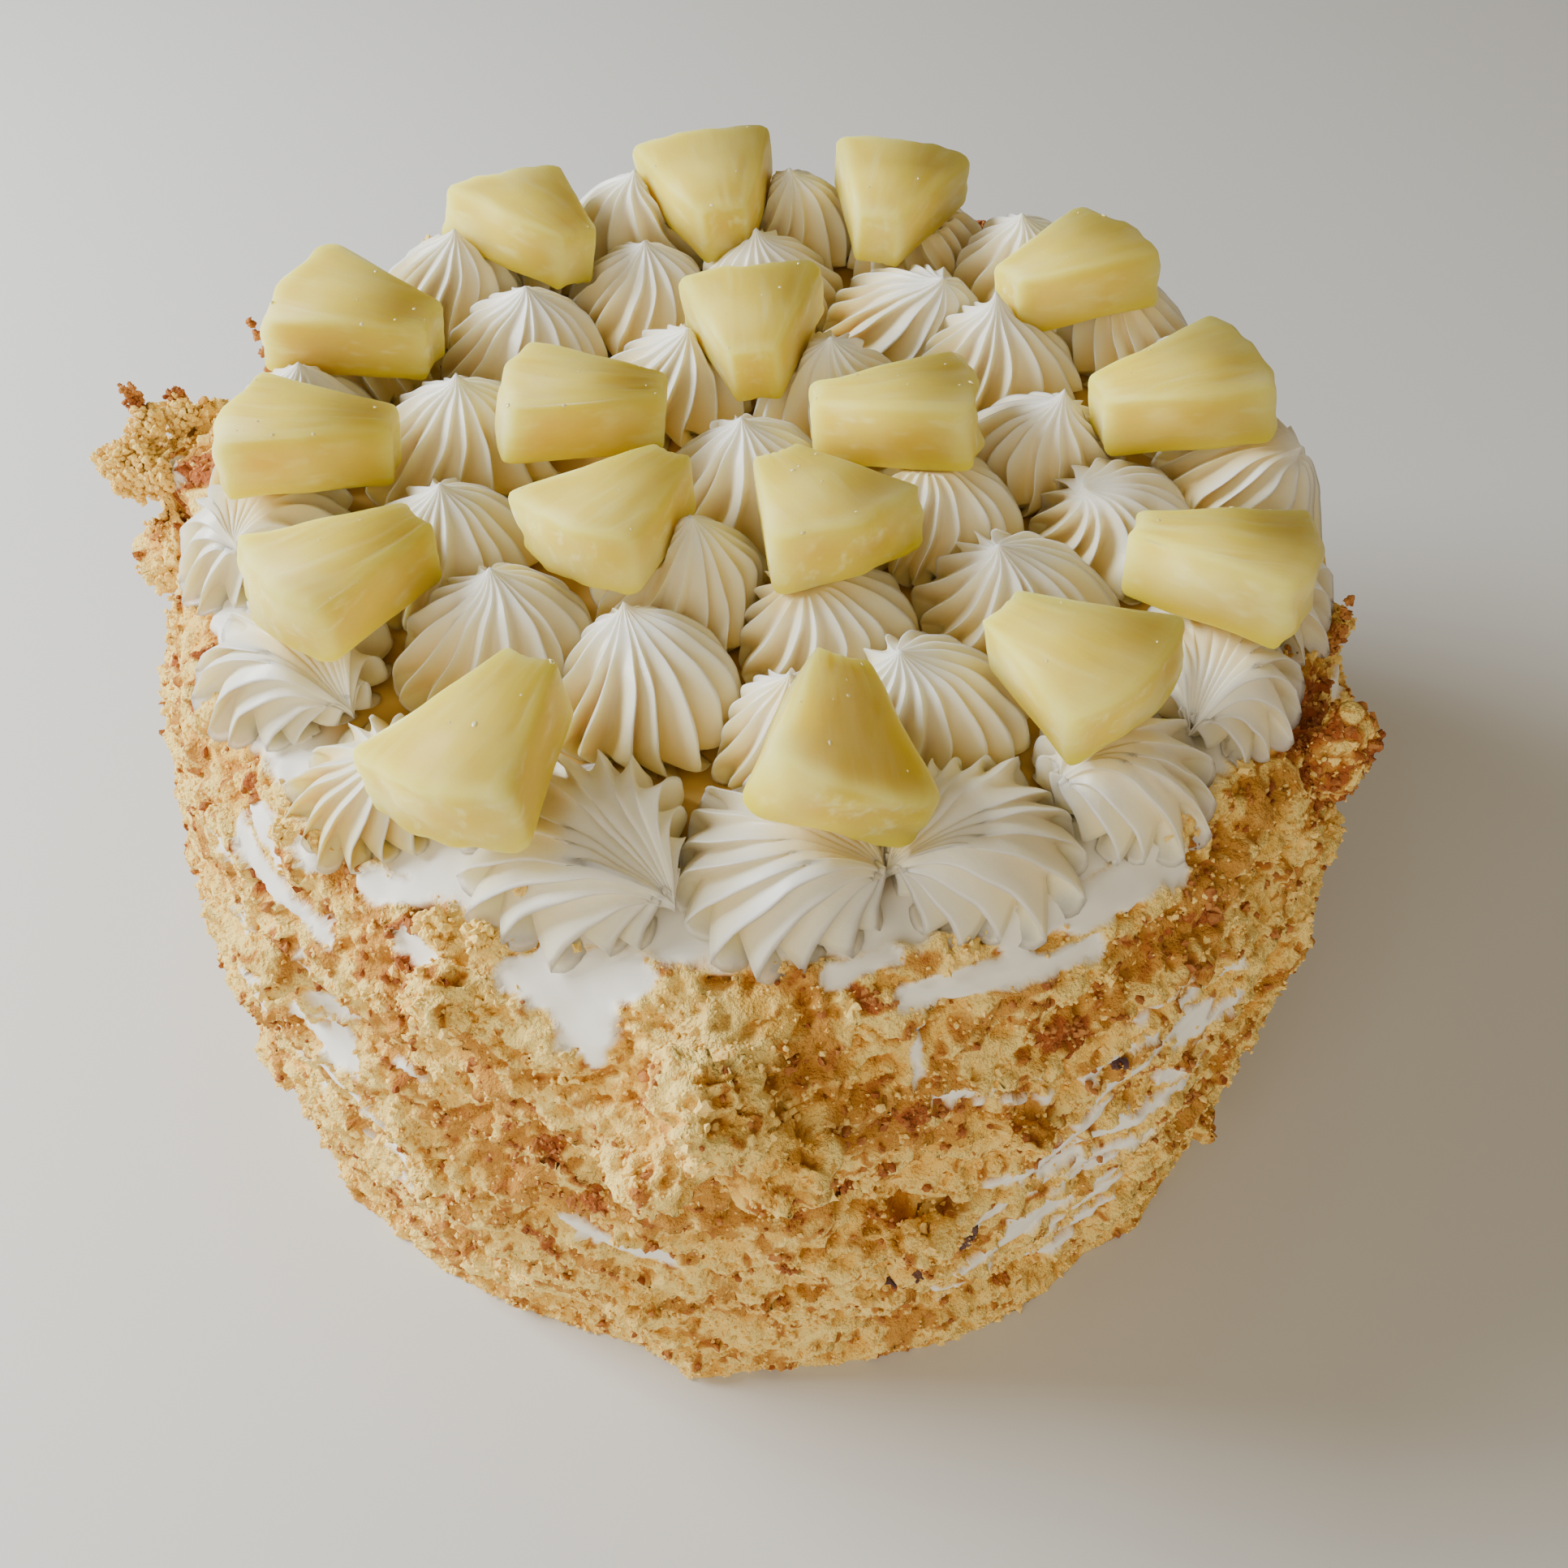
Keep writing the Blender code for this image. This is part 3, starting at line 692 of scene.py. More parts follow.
def roll_up(across, up, shape):
    """A grid closed into a skin: shape turns each grid point's two shares into a spot."""
    bm = bmesh.new()
    bmesh.ops.create_grid(bm, x_segments=across, y_segments=up, size=0.5)
    # Each point keeps a number for the finish; the rosettes put their painted shade in it.
    shade_and_juice = bm.verts.layers.float.new("shade_and_juice")
    grid = np.array([vert.co[:2] for vert in bm.verts]) + 0.5
    places, shades = shape(grid[:, 0], grid[:, 1])
    for vert, spot, depth in zip(bm.verts, places * MM, shades.tolist()):
        vert.co = spot
        vert[shade_and_juice] = depth
    bmesh.ops.remove_doubles(bm, verts=bm.verts, dist=1e-6)
    bmesh.ops.recalc_face_normals(bm, faces=bm.faces)
    return mesh_of(bm)


def outline(rise, sharp):
    """Width and height of a rosette, as shares, from the middle of its foot to its peak."""
    width = np.interp(rise, (0, 0.03, 0.12, 0.2, 1), (0, 0.86, 0.98, 1.0, 0.0))
    dome = (1 - width ** SHOULDER) * (1 - sharp) + sharp * np.exp(-width / 0.10)
    foot = np.interp(rise, (0, 0.03, 0.12, 0.2), (0, 0.0, 0.05, 0.10))
    return width, np.where(rise > 0.2, 0.10 + 0.90 * dome, foot)


# %% [markdown]
# Where fruit lies on a rosette, the cream under it is pressed down to the fruit's underside,
# and cream close to fruit turns yellow: partly it is wet with the fruit's juice, and partly
# it is painted shade and light that comes through the fruit. Both are easiest to say in the
# wedge's own place, so the spots are carried there and back.

# %% Press the cream down
PRESS_NEAR = 30 * MM
SKIN_GAP = 0.1


def within(own):
    """How far inside a wedge's outline each spot is, in the wedge's own millimetres."""
    reach = np.hypot(own[:, 0] + MIDDLE, own[:, 1])
    aside = np.abs(np.degrees(np.arctan2(own[:, 1], own[:, 0] + MIDDLE)))
    edge = np.minimum(reach - WEDGE_ENDS[0], WEDGE_ENDS[1] - reach)
    return np.minimum(edge, np.radians(WEDGE_ANGLE / 2 - aside) * reach)


def press_down(spots):
    """Lowers cream that lies where a wedge is, to just under the wedge. Also says how yellow
    each spot turns, partly as juice and partly as painted shade and light from the fruit:
    most under the fruit's edge, and less further away."""
    juice_and_fruit_shade = np.zeros(len(spots))
    for place in places:
        centre = np.array(place.translation)
        near = np.linalg.norm(spots[:, :2] - centre[:2], axis=1) < PRESS_NEAR
        if not near.any():
            continue
        own = carry(place.inverted(), spots[near])
        edge = within(own)
        over = np.maximum(0.0, own[:, 2] + WEDGE_THICKNESS / 2 + SKIN_GAP)
        own[:, 2] -= over * ease(edge, -0.7, 0.3)
        gap = np.abs(own[:, 2] + WEDGE_THICKNESS / 2)
        # Painted yellow near the fruit: partly juice, partly shade and light that comes through the fruit.
        juice_and_fruit_shade[near] = np.maximum(juice_and_fruit_shade[near], ease(edge, -5.0, 0.5) * ease(-gap, -9.0, -1.0))
        spots[near] = carry(place, own)
    return spots, juice_and_fruit_shade


# %% [markdown]
# The fins are waves in the distance from the middle, with a sharp crest and a round valley.
# Each fin sways a little and is a little longer or shorter than the next, as in cream. A
# peak that was pulled far has sunk down on its own side, with its fins folded over. The
# valleys between fins and the low parts of each rosette get painted shade, a yellower tone,
# for the finish.

# %% Pipe the rosettes
FULL = 1.06
FINS = 16
FIN_POINTS = 12
RISE_POINTS = 30
FIN_SEED = 500
SWAY = 0.25
SHORTEST, LONGEST = 0.93, 1.06
FIN_DEPTH = 0.24
DEEPER_OUTSIDE = 0.12
UPRIGHT_FOLD, PULLED_FOLD = 0.10, 0.30
HOOK = 0.5
PEAK_FALL = 0.80
FALL_START = 0.4
FALL_RANGE = 0.4
LOW_SIDE = 0.62
VALLEY_SHADE = 0.42
JUICE_AND_FRUIT_SHADE = 0.75
UNEVEN = 0.45 * MM
BLUNT = 0.14
SHARP = {24: 0.26, 25: 0.26, 30: 0.18, 31: 0.16, 33: 0.18}
SHOULDER_LINE = ((80, 109), (87, 107), (90, 104.5), (93, 102), (95.6, 99))


def along_fin(turn):
    """Which fins a spot lies between, how far from the first, and how deep in the valley."""
    fin = turn * FINS
    first = np.floor(fin + 1e-9)
    share = np.clip(fin - first, 0, 1)
    share = share - 0.65 * np.sin(2 * np.pi * share) / (2 * np.pi)
    return first.astype(int) % FINS, share, np.sin(np.pi * share) ** 0.8


def make_rosette(index):
    """One rosette: its grid is shaped, made a little uneven and pressed down by the fruit."""
    rosette = ROSETTES[index]
    rng = np.random.default_rng(FIN_SEED + index)
    centre, planes = neighbours(index)
    lean = np.array(polar(rosette.heading, rosette.lean))[:2]
    sway = rng.uniform(-SWAY, SWAY, FINS)
    reach = rng.uniform(SHORTEST, LONGEST, FINS)
    pulled_far = max(0.0, rosette.lean / rosette.size - FALL_START) / FALL_RANGE
    fall = PEAK_FALL * min(1.0, pulled_far)
    hand = math.copysign(1.0, rosette.twist)

    def shape(turn, rise):
        width, height = outline(rise, SHARP.get(index + 1, BLUNT))
        first, share, valley = along_fin(turn)
        second = (first + 1) % FINS
        depth = (FIN_DEPTH + DEEPER_OUTSIDE * ease(width, 0.3, 0.9)) * ease(rise, 0.0, 0.05)
        radius = FULL * rosette.size * width * (1 - depth * valley)
        radius *= 1 + (reach[first] * (1 - share) + reach[second] * share - 1) * width
        drift = sway[first] * (1 - share) + sway[second] * share
        fold_share = PULLED_FOLD if fall > 0 else UPRIGHT_FOLD
        fold = hand * (1 - valley) * fold_share * ease(width, 0.15, 0.7)
        hook = hand * HOOK * ease(-rise, -0.32, -0.06) * (1 - valley)
        angle = 2 * np.pi * (np.floor(turn * FINS + 1e-9) + share + drift + fold + hook) / FINS
        angle = angle + np.radians(rosette.twist) * (1 - width) ** 0.8
        pulled = np.outer((1 - width) ** 1.25 * (rise > 0.2), lean)
        fins = np.column_stack((np.cos(angle), np.sin(angle))) * radius[:, None]
        flat = squeeze(fins + 0.6 * pulled, planes) + 0.4 * pulled + centre
        far = np.linalg.norm(flat, axis=1)
        low = np.interp(far, *zip(*SHOULDER_LINE)) + 0.1
        top = CAKE_TOP + rosette.height
        toward = np.cos(angle - np.radians(rosette.heading))
        low_side = 1 - LOW_SIDE * fall * ease(toward, -0.1, 1.0)
        dome = height * (1 - fall * (1 - width) ** 2.6 * (rise > 0.2)) * low_side
        # Painted shade: the valleys between fins and the low parts of the dome turn yellow, less on rosettes
        # whose peaks were pulled far.
        shade_weight = 1.0 if fall < 0.4 else 0.45
        shade_between_fins = VALLEY_SHADE * valley * ease(width, 0.1, 0.6) * shade_weight
        shade_and_juice = shade_between_fins + shade_weight * (1 - dome) ** 2.0
        return np.column_stack((flat, low + dome * (top - low))), np.clip(shade_and_juice, 0, 1)

    mesh = roll_up(FINS * FIN_POINTS, RISE_POINTS, shape)
    spots = points_of(mesh)
    above = ease(spots[:, 2:3], (CAKE_TOP + 0.5) * MM, (CAKE_TOP + 3) * MM)
    spots += UNEVEN * wobble(spots, 6 * MM, index * 3.1, 11) * above
    spots, juice_and_fruit_shade = press_down(spots)
    put_points(mesh, spots)
    # The yellow near the fruit joins the painted shade: partly juice, partly painted shade and light from
    # the fruit.
    layer = mesh.attributes["shade_and_juice"]
    shade_and_juice = np.empty(len(spots), dtype=np.float32)
    layer.data.foreach_get("value", shade_and_juice)
    layer.data.foreach_set("value", np.maximum(shade_and_juice, JUICE_AND_FRUIT_SHADE * juice_and_fruit_shade).astype(np.float32))
    return mesh


for index in range(len(ROSETTES)):
    number = f"{index + 1:02d}"
    mesh = make_rosette(index)
    finish_piece(f"piped_rosette_{number}", mesh, cream, "cream", f"rosette_{number}")
print("piped", len(ROSETTES), "rosettes")

# %% [markdown]
# The side of the cake is cream with sponge crumbled over it. Where the crumbs didn't stick,
# the cream shows as smears, and some crumbs come from the baked outside of the sponge. Both
# look like strokes of a brush, so each is given as a start and an end on the side, as angle
# and height, and half its width in millimetres. In a few wide regions the cream shows in
# thin streaks. A few more strokes are drawn by chance for the sides that the picture doesn't
# show.

# %% Where the side is creamy
Stroke = namedtuple("Stroke", "angle height to_angle to_height width")
CREAM_STROKES = tuple(Stroke(*row) for row in (
    (-109, 104, -100, 106, 3.0), (-106, 104, -103, 101, 4.5), (-103, 101, -102, 97, 2.2),
    (-120, 103, -115, 101, 1.6), (-125, 106, -120, 107, 2.0), (-134, 105, -132, 104, 1.8),
    (-140, 103, -135, 101, 1.0), (-67, 106, -50, 105, 3.0), (-77, 103, -66, 103, 2.0),
    (-74, 103, -60, 101, 1.8), (-83, 106, -78, 107, 1.5), (-76, 99, -77, 91, 0.9),
    (-75, 87, -70, 84, 1.3), (-70, 84, -63, 81, 0.9), (-71, 80, -65, 76, 1.2),
    (-121, 79, -116, 76, 0.9), (-125, 46, -118, 42, 1.4), (-118, 42, -115, 42, 1.2),
    (-106, 52, -97, 44, 1.9), (-80, 44, -76, 52, 1.3), (-73, 23, -67, 28, 1.5), (-69, 55, -63, 57, 1.6),
    (-63, 57, -58, 65, 1.8), (-66, 39, -61, 38, 2.2), (-63, 46, -56, 43, 2.0), (-51, 60, -49, 58, 1.4),
    (-49, 76, -47, 78, 1.2), (-131, 90, -128, 84, 0.8), (-129, 70, -126, 62, 0.9),
    (-139, 88, -137, 80, 0.8),
))
STREAKY = tuple(Stroke(*row) for row in (
    (-66, 30, -52, 66, 22), (-136, 95, -128, 45, 15), (25, 70, 50, 25, 24), (110, 80, 140, 35, 24),
))
print("strokes of cream:", len(CREAM_STROKES))

# %% Where the side is baked
CRUST_STROKES = tuple(Stroke(*row) for row in (
    (-120, 104, -117, 98, 2.8), (-107, 73, -103, 61, 2.2), (-112, 73, -111, 64, 0.9),
    (-110, 48, -108, 40, 1.5), (-119, 46, -117, 47, 1.0), (-81, 105, -80, 103, 1.4),
    (-75, 102, -73, 103, 1.3), (-65, 89, -61, 86, 2.6), (-78, 86, -72, 81, 1.9),
    (-82, 67, -79, 66, 1.9), (-66, 62, -62, 62, 1.3), (-67, 47, -64, 46, 1.1), (-55, 62, -54, 63, 1.2),
    (-49, 47, -45, 41, 2.4), (-80, 43, -77, 42, 1.2), (-48, 94, -47, 93, 3.6), (-52, 96, -50, 95, 1.6),
    (-57, 99, -56, 99, 1.3), (-25, 99, -23, 90, 10), (172, 105, 171, 98, 3.5),
    (-157, 105, -155, 103, 1.4), (-143, 105, -142, 104, 1.8), (-138, 97, -137, 95, 1.5),
    (-162, 105, -161, 107, 2.0), (-170, 96, -169, 92, 1.6), (-165, 84, -163, 82, 1.2),
    (-150, 60, -148, 57, 1.2),
))
TOASTED_STROKES = tuple(Stroke(*row) for row in (
    (-72, 96, -67, 96, 2.6), (-83, 83, -76, 78, 2.8), (-87, 93, -81, 87, 2.0), (-45, 99, -44, 94, 3.0),
    (-128, 105, -123, 103, 2.4), (-114, 72, -112, 62, 2.0), (-119, 50, -112, 50, 2.6),
    (-100, 62, -92, 60, 3.0), (-60, 76, -54, 78, 2.2), (-95, 30, -88, 28, 2.2),
    (-110, 22, -104, 20, 2.0), (-52, 86, -46, 84, 2.4), (-124, 101, -118, 94, 3.2),
    (-113, 90, -108, 84, 2.2), (-104, 82, -98, 76, 2.0), (-110, 66, -105, 57, 3.4),
    (-97, 68, -86, 64, 4.0), (-84, 90, -75, 85, 3.2), (-64, 89, -60, 87, 3.0), (-72, 80, -67, 80, 2.6),
    (-99, 75, -94, 72, 2.6), (-122, 108, -119, 106, 2.2), (-51, 94, -43, 99, 3.0),
    (-38, 102, -34, 100, 3.0),
))


print("strokes of crust:", len(CRUST_STROKES), "and toasted ones:", len(TOASTED_STROKES))

# %% [markdown]
# How far a point lies from the nearest stroke says how much of it shows there. The side
# isn't an upright wall, so its line, given as height and distance from the middle, turns an
# angle and a height into a place. Noise then makes the edges of the strokes ragged.

# %% Turn strokes into masks
SIDE_LINE = ((0, 102), (14, 101), (45, 102.5), (70, 101.6), (84, 99.8), (92, 97.8),
             (98, 95.6), (102.5, 93), (105, 91), (107, 88), (109, 80))
SLANT = 0.3


def unseen_strokes(seed, count):
    """Strokes like the ones that show, for the sides that the picture doesn't show."""
    rng = random.Random(seed)
    drawn = []
    for _ in range(count):
        angle = rng.uniform(-20, 190)
        height = rng.uniform(12, 102)
        slope = rng.uniform(-4, 4)
        end = (angle + rng.uniform(1, 7), height + slope)
        drawn.append(Stroke(angle, height, *end, rng.uniform(0.9, 2.8)))
    return tuple(drawn)


def side_point(angle, height):
    """The place on the plain side at an angle and a height, in millimetres."""
    return np.array(polar(angle, np.interp(height, *zip(*SIDE_LINE)))) + (0, 0, height)


def stroke_strength(spots, strokes):
    """1 along the middle of the nearest stroke, 0 at its edge and below 0 outside it."""
    strength = np.full(len(spots), -3.0)
    for stroke in strokes:
        start = side_point(stroke.angle, stroke.height)
        run = side_point(stroke.to_angle, stroke.to_height) - start
        share = np.clip((spots / MM - start) @ run / max(run @ run, 1e-6), 0, 1)
        far = np.linalg.norm(spots / MM - start - share[:, None] * run, axis=1)
        strength = np.maximum(strength, 1 - far / stroke.width)
    return strength


def along_side(spots, stretch):
    """Places drawn out along the side, rising a little to both sides as the crumbs lie."""
    up = stretch * (spots[:, 2] - SLANT * spots[:, 1])
    return np.column_stack((spots[:, 0], spots[:, 1], up))


def side_masks(spots):
    """How creamy and how baked each point of the cake's skin is, from 0 to 1."""
    streak = grain(along_side(spots, 4.0), 12 * MM, 40)
    ragged = grain(along_side(spots, 1.6), 2.8 * MM, 60)
    wanted = stroke_strength(spots, CREAM_STROKES + unseen_strokes(3, 34)) + 0.55 * ragged
    region = ease(stroke_strength(spots, STREAKY), -0.1, 0.4)
    wanted = np.maximum(wanted, region * (3.4 * streak + 0.7 * ragged) - 0.5)
    creamy = ease(wanted, -0.12, 0.12)
    radius = np.hypot(spots[:, 0], spots[:, 1]) / MM
    top = ease(-radius - 1.5 * ragged, -88.0, -86.0) * (spots[:, 2] > 90 * MM)
    creamy = np.maximum(creamy, top)
    crust = stroke_strength(spots, CRUST_STROKES + unseen_strokes(8, 30)) + 0.9 * ragged
    fleck = grain(along_side(spots, 1.3), 2.4 * MM, 71)
    toasted = stroke_strength(spots, TOASTED_STROKES + unseen_strokes(9, 24)) + 1.0 * ragged + 0.25
    toasted = np.maximum(toasted, 4.0 * grain(along_side(spots, 2.0), 10 * MM, 90) - 1.1) + 1.2 * fleck
    baked = np.maximum(ease(crust, -0.1, 0.35), 0.45 * ease(toasted, -0.3, 0.3))
    baked = np.maximum(baked, 0.8 * ease(fleck + 0.2 * baked, 0.36, 0.48))
    return creamy, baked * (1 - creamy)


print("the side is", SIDE_LINE[0][1], "mm from the middle at the foot")

# %% [markdown]
# The skin comes from a voxel remesh of the plain body, so that fine relief can be pushed into
# an even net of small squares. Bump in the finish alone would be lighter, but then the
# outline stays smooth and the side looks painted. Sponge is an open crumb: it breaks into plates with ragged
# edges, each a heap of grains pressed together, with pores between. Noise in soft steps makes
# the plates and cells of two sizes make the grains. A cell's value is the gap between its
# nearest and second nearest middle, so it is nothing along the seams between grains.

# %% Grains and the places for relief
def cells(spots, size, shift=0.0):
    """Rounded grains of about that size: 1 in the middle of each and 0 in the seams."""
    scaled = np.asarray(spots) / size + shift
    seam = np.array([noise.noise(spot, noise_basis="VORONOI_F2F1") for spot in scaled.tolist()])
    return np.clip((seam + 1) / 1.2, 0, 1) ** 0.6


RECESSES = tuple(Stroke(*row) for row in (
    (-103, 92, -101, 90, 1.6), (-122, 107, -119, 106, 2.2), (-162, 107, -160, 107, 3.0),
    (-93, 106.5, -92, 106.5, 1.5), (-42, 94, -40, 92, 2.6), (-80, 66, -77, 64, 2.0),
    (-91, 66, -87, 64.5, 2.4),
))
FRESH_STROKES = tuple(Stroke(*row) for row in (
    (-94, 102, -91, 80, 8.0), (-97, 84, -95, 80, 5.5), (-88, 90, -86, 78, 5.5),
))
Ledge = namedtuple("Ledge", "angle height to_angle to_height step")
LEDGES = tuple(Ledge(*row) for row in (
    (-101, 84, -92, 79, 5.0), (-92, 79, -80, 70, 5.0), (-113, 74, -103, 66, 2.4),
    (-79, 85, -70, 80, 2.4), (-84, 66, -78, 65, 2.2), (-121, 58, -110, 50, 2.0),
    (-75, 87, -62, 80, 1.6), (-68, 62, -60, 61, 1.6), (-107, 38, -94, 33, 1.8), (-90, 46, -79, 44, 1.6),
    (-119, 96, -109, 92, 2.2), (-66, 96, -55, 90, 1.8),
))


print("recesses:", len(RECESSES), "and ledges:", len(LEDGES))

# %% [markdown]
# Along some lines, the ledges, the crumbs above overhang those below. A few bulges are the
# largest pieces of sponge, which stick out past the side, and the recesses are holes
# between pieces.

# %% Relief of the coat
def unseen_ledges(seed, count):
    """Ledges like the others, for all sides."""
    rng = random.Random(seed)
    drawn = []
    for _ in range(count):
        angle = rng.uniform(-35, 205)
        height = rng.uniform(16, 96)
        end = (angle + rng.uniform(7, 14), height + rng.uniform(-5, 5))
        drawn.append(Ledge(angle, height, *end, rng.uniform(1.4, 3)))
    return tuple(drawn)


def ledge_push(spots, ledges):
    """How far ledges move the side out: the crumbs above a line overhang those below it."""
    angle = np.degrees(np.arctan2(spots[:, 1], spots[:, 0]))
    torn = 1.6 * grain(spots, 5 * MM, 81) + 0.9 * grain(spots, 2 * MM, 83)
    push = np.zeros(len(spots))
    for ledge in ledges:
        wide = ledge.to_angle - ledge.angle
        share = ((angle - ledge.angle + 180) % 360 - 180) / wide
        line = ledge.height + (ledge.to_height - ledge.height) * share
        above = spots[:, 2] / MM - line + torn
        window = ease(share, -0.15, 0.15) * ease(-share, -1.15, -0.85)
        step = ledge.step * window
        push += step * np.where(above > 0, 0.45 * np.exp(-above / 9), -0.75 * np.exp(above / 5))
    return push


Bulge = namedtuple("Bulge", "angle height out up spread")
BULGES = tuple(Bulge(*row) for row in (
    (171, 101, 8, 5, 6.5), (166, 105, 1, 7, 4.5), (131, 104, 1, 7, 4.5), (64, 104, 0, 7, 4.0),
    (156, 105, 0, 7, 2.6), (-92.5, 101, 5, 1.5, 7.0),
))


def bulge_push(spots):
    """Where the largest pieces of sponge stick out past the side or up past the rim."""
    push = np.zeros(spots.shape)
    for bulge in BULGES:
        far = np.linalg.norm(spots / MM - side_point(bulge.angle, bulge.height), axis=1)
        share = np.exp(-(far / bulge.spread) ** 2)
        push += np.outer(share, np.array(polar(bulge.angle, bulge.out)) + (0, 0, bulge.up))
    return push * MM


def coat_relief(spots, creamy):
    """How far each point moves out, in millimetres, how raised it is, and how much painted
    shade it gets in pores and recesses.
    """
    warp = wobble(spots, 2.6 * MM, 3, 11)
    torn = along_side(spots + 1.1 * MM * warp, 1.7)
    large = ease(grain(torn, 13 * MM, 15), -0.05, 0.05)
    plate = 0.6 * large + 0.4 * ease(grain(torn, 6 * MM, 19), -0.06, 0.06)
    lump = cells(spots + 0.5 * MM * warp, 4.2 * MM, 25)
    fine = cells(spots, 2.0 * MM, 35)
    pore = ease(grain(spots * (1, 1, 1.3), 3.0 * MM, 55), 0.17, 0.28)
    dent = stroke_strength(spots, RECESSES) + 0.35 * grain(torn, 4 * MM, 65)
    crumbly = 2.4 * plate + 0.6 * lump + 0.6 * fine - 1.3 * pore - 2.0 - 4.2 * ease(dent, 0.05, 0.45)
    smooth = 0.6 * grain(spots, 9 * MM, 45) + 0.3 * grain(along_side(spots, 2.5), 4 * MM, 47) - 0.3
    # How raised a point is also sets its colour: low places get a deeper gold as painted shade.
    raised = np.clip(0.42 * plate + 0.33 * lump + 0.25 * fine - 0.5 * pore, 0, 1)
    # Painted shade in pores between plates and in the recesses.
    recess_shade = np.clip(0.8 * pore * (1 - plate) + ease(dent, 0.1, 0.6), 0, 1)
    return crumbly * (1 - creamy) + smooth * creamy, raised * (1 - recess_shade), recess_shade


print("bulges:", len(BULGES))

# %% [markdown]
# Three helpers work on whole meshes. The first makes the even net. The second joins the flat
# top and bottom, which are hidden, into single faces again. The third cuts a slice like the
# cake will be cut, because one mesh this fine would be too heavy.

# %% Helpers for the coat
COAT_VOXEL = 0.72 * MM


def even_skin(node, voxel):
    """A copy of a plain node's mesh, merged and remeshed into even small squares."""
    bm = bmesh.new()
    bm.from_mesh(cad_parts[node].data)
    bmesh.ops.remove_doubles(bm, verts=bm.verts, dist=1e-6)
    holder = bpy.data.objects.new("skin", mesh_of(bm))
    bpy.context.scene.collection.objects.link(holder)
    remesh = holder.modifiers.new("even", "REMESH")
    remesh.mode = "VOXEL"
    remesh.voxel_size = voxel
    evaluated = holder.evaluated_get(bpy.context.evaluated_depsgraph_get())
    mesh = bpy.data.meshes.new_from_object(evaluated)
    bpy.data.objects.remove(holder, do_unlink=True)
    return mesh


def join_flat(mesh):
    """The hidden flat top and bottom become single faces again."""
    bm = bmesh.new()
    bm.from_mesh(mesh)
    under = [face for face in bm.faces if all(vert.co.z < 0.3 * MM for vert in face.verts)]
    bmesh.ops.dissolve_faces(bm, faces=under)
    over = [face for face in bm.faces if face.normal.z > 0.99
            and all(vert.co.z > 108 * MM and vert.co.xy.length < 60 * MM for vert in face.verts)]
    bmesh.ops.dissolve_faces(bm, faces=over)
    bm.to_mesh(mesh)
    bm.free()
    return mesh


def slice_of(mesh, start, end):
    """The slice of a mesh between two upright cuts through the middle, closed again."""
    bm = bmesh.new()
    bm.from_mesh(mesh)
    for angle, side in ((start, -1), (end, 1)):
        away = side * Vector((-math.sin(math.radians(angle)), math.cos(math.radians(angle)), 0))
        everything = bm.verts[:] + bm.edges[:] + bm.faces[:]
        cut = bmesh.ops.bisect_plane(
            bm, geom=everything, plane_co=(0, 0, 0), plane_no=away, clear_outer=True
        )
        rim = [edge for edge in cut["geom_cut"] if isinstance(edge, bmesh.types.BMEdge)]
        filled = bmesh.ops.holes_fill(bm, edges=rim, sides=0)["faces"]
        for face in filled:
            for edge in face.edges:
                edge.smooth = False
    return mesh_of(bm)


# %% [markdown]
# Now the coat itself. Its points get their masks first, and the pale, freshly broken piece
# in front keeps out both cream and crust. Then they move: straight out of the skin for the
# relief, and away from the middle for ledges and bulges. The foot stays where it stands.

# %% Shape the coat
coat = join_flat(even_skin("cake_body", COAT_VOXEL * (1)))
spots = points_of(coat)
creamy, baked = side_masks(spots)
fresh_piece = stroke_strength(spots, FRESH_STROKES) + 0.3 * grain(spots, 3 * MM, 77)
fresh_piece = ease(fresh_piece, -0.05, 0.3)
creamy = creamy * (1 - fresh_piece)
baked = baked * (1 - 0.9 * fresh_piece)
relief, raised, recess_shade = coat_relief(spots, creamy)
overhang = ledge_push(spots, LEDGES + unseen_ledges(6, 26)) * (1 - 0.6 * creamy)
# Painted shade under the ledges, less on the fresh piece.
recess_shade = np.maximum(recess_shade, 0.9 * ease(-overhang, 0.9, 2.6))
recess_shade = recess_shade * (1 - 0.75 * fresh_piece)
raised = np.maximum(raised, fresh_piece * (0.45 + 0.5 * raised))
outward = spots * (1, 1, 0) / np.linalg.norm(spots * (1, 1, 0), axis=1, keepdims=True)
normals = np.empty(len(spots) * 3)
coat.vertices.foreach_get("normal", normals)
normals = normals.reshape(-1, 3)
grip = ease(spots[:, 2], 0.2 * MM, 3 * MM)
spots += normals * (relief * grip * MM)[:, None] + outward * (overhang * grip * MM)[:, None]
spots += bulge_push(spots)
spots[:, 2] = np.maximum(spots[:, 2], 0.0)
put_points(coat, spots)
print("the coat has", len(spots), "points")

# %% [markdown]
# The masks are painted on the points for the finish to read. Then the coat is cut into
# three slices that meet exactly, and they take the place of the plain body.

# %% Paint the coat and cut it
SLICES = (-160, -22, 88, 200)
radius = np.hypot(spots[:, 0], spots[:, 1]) / MM
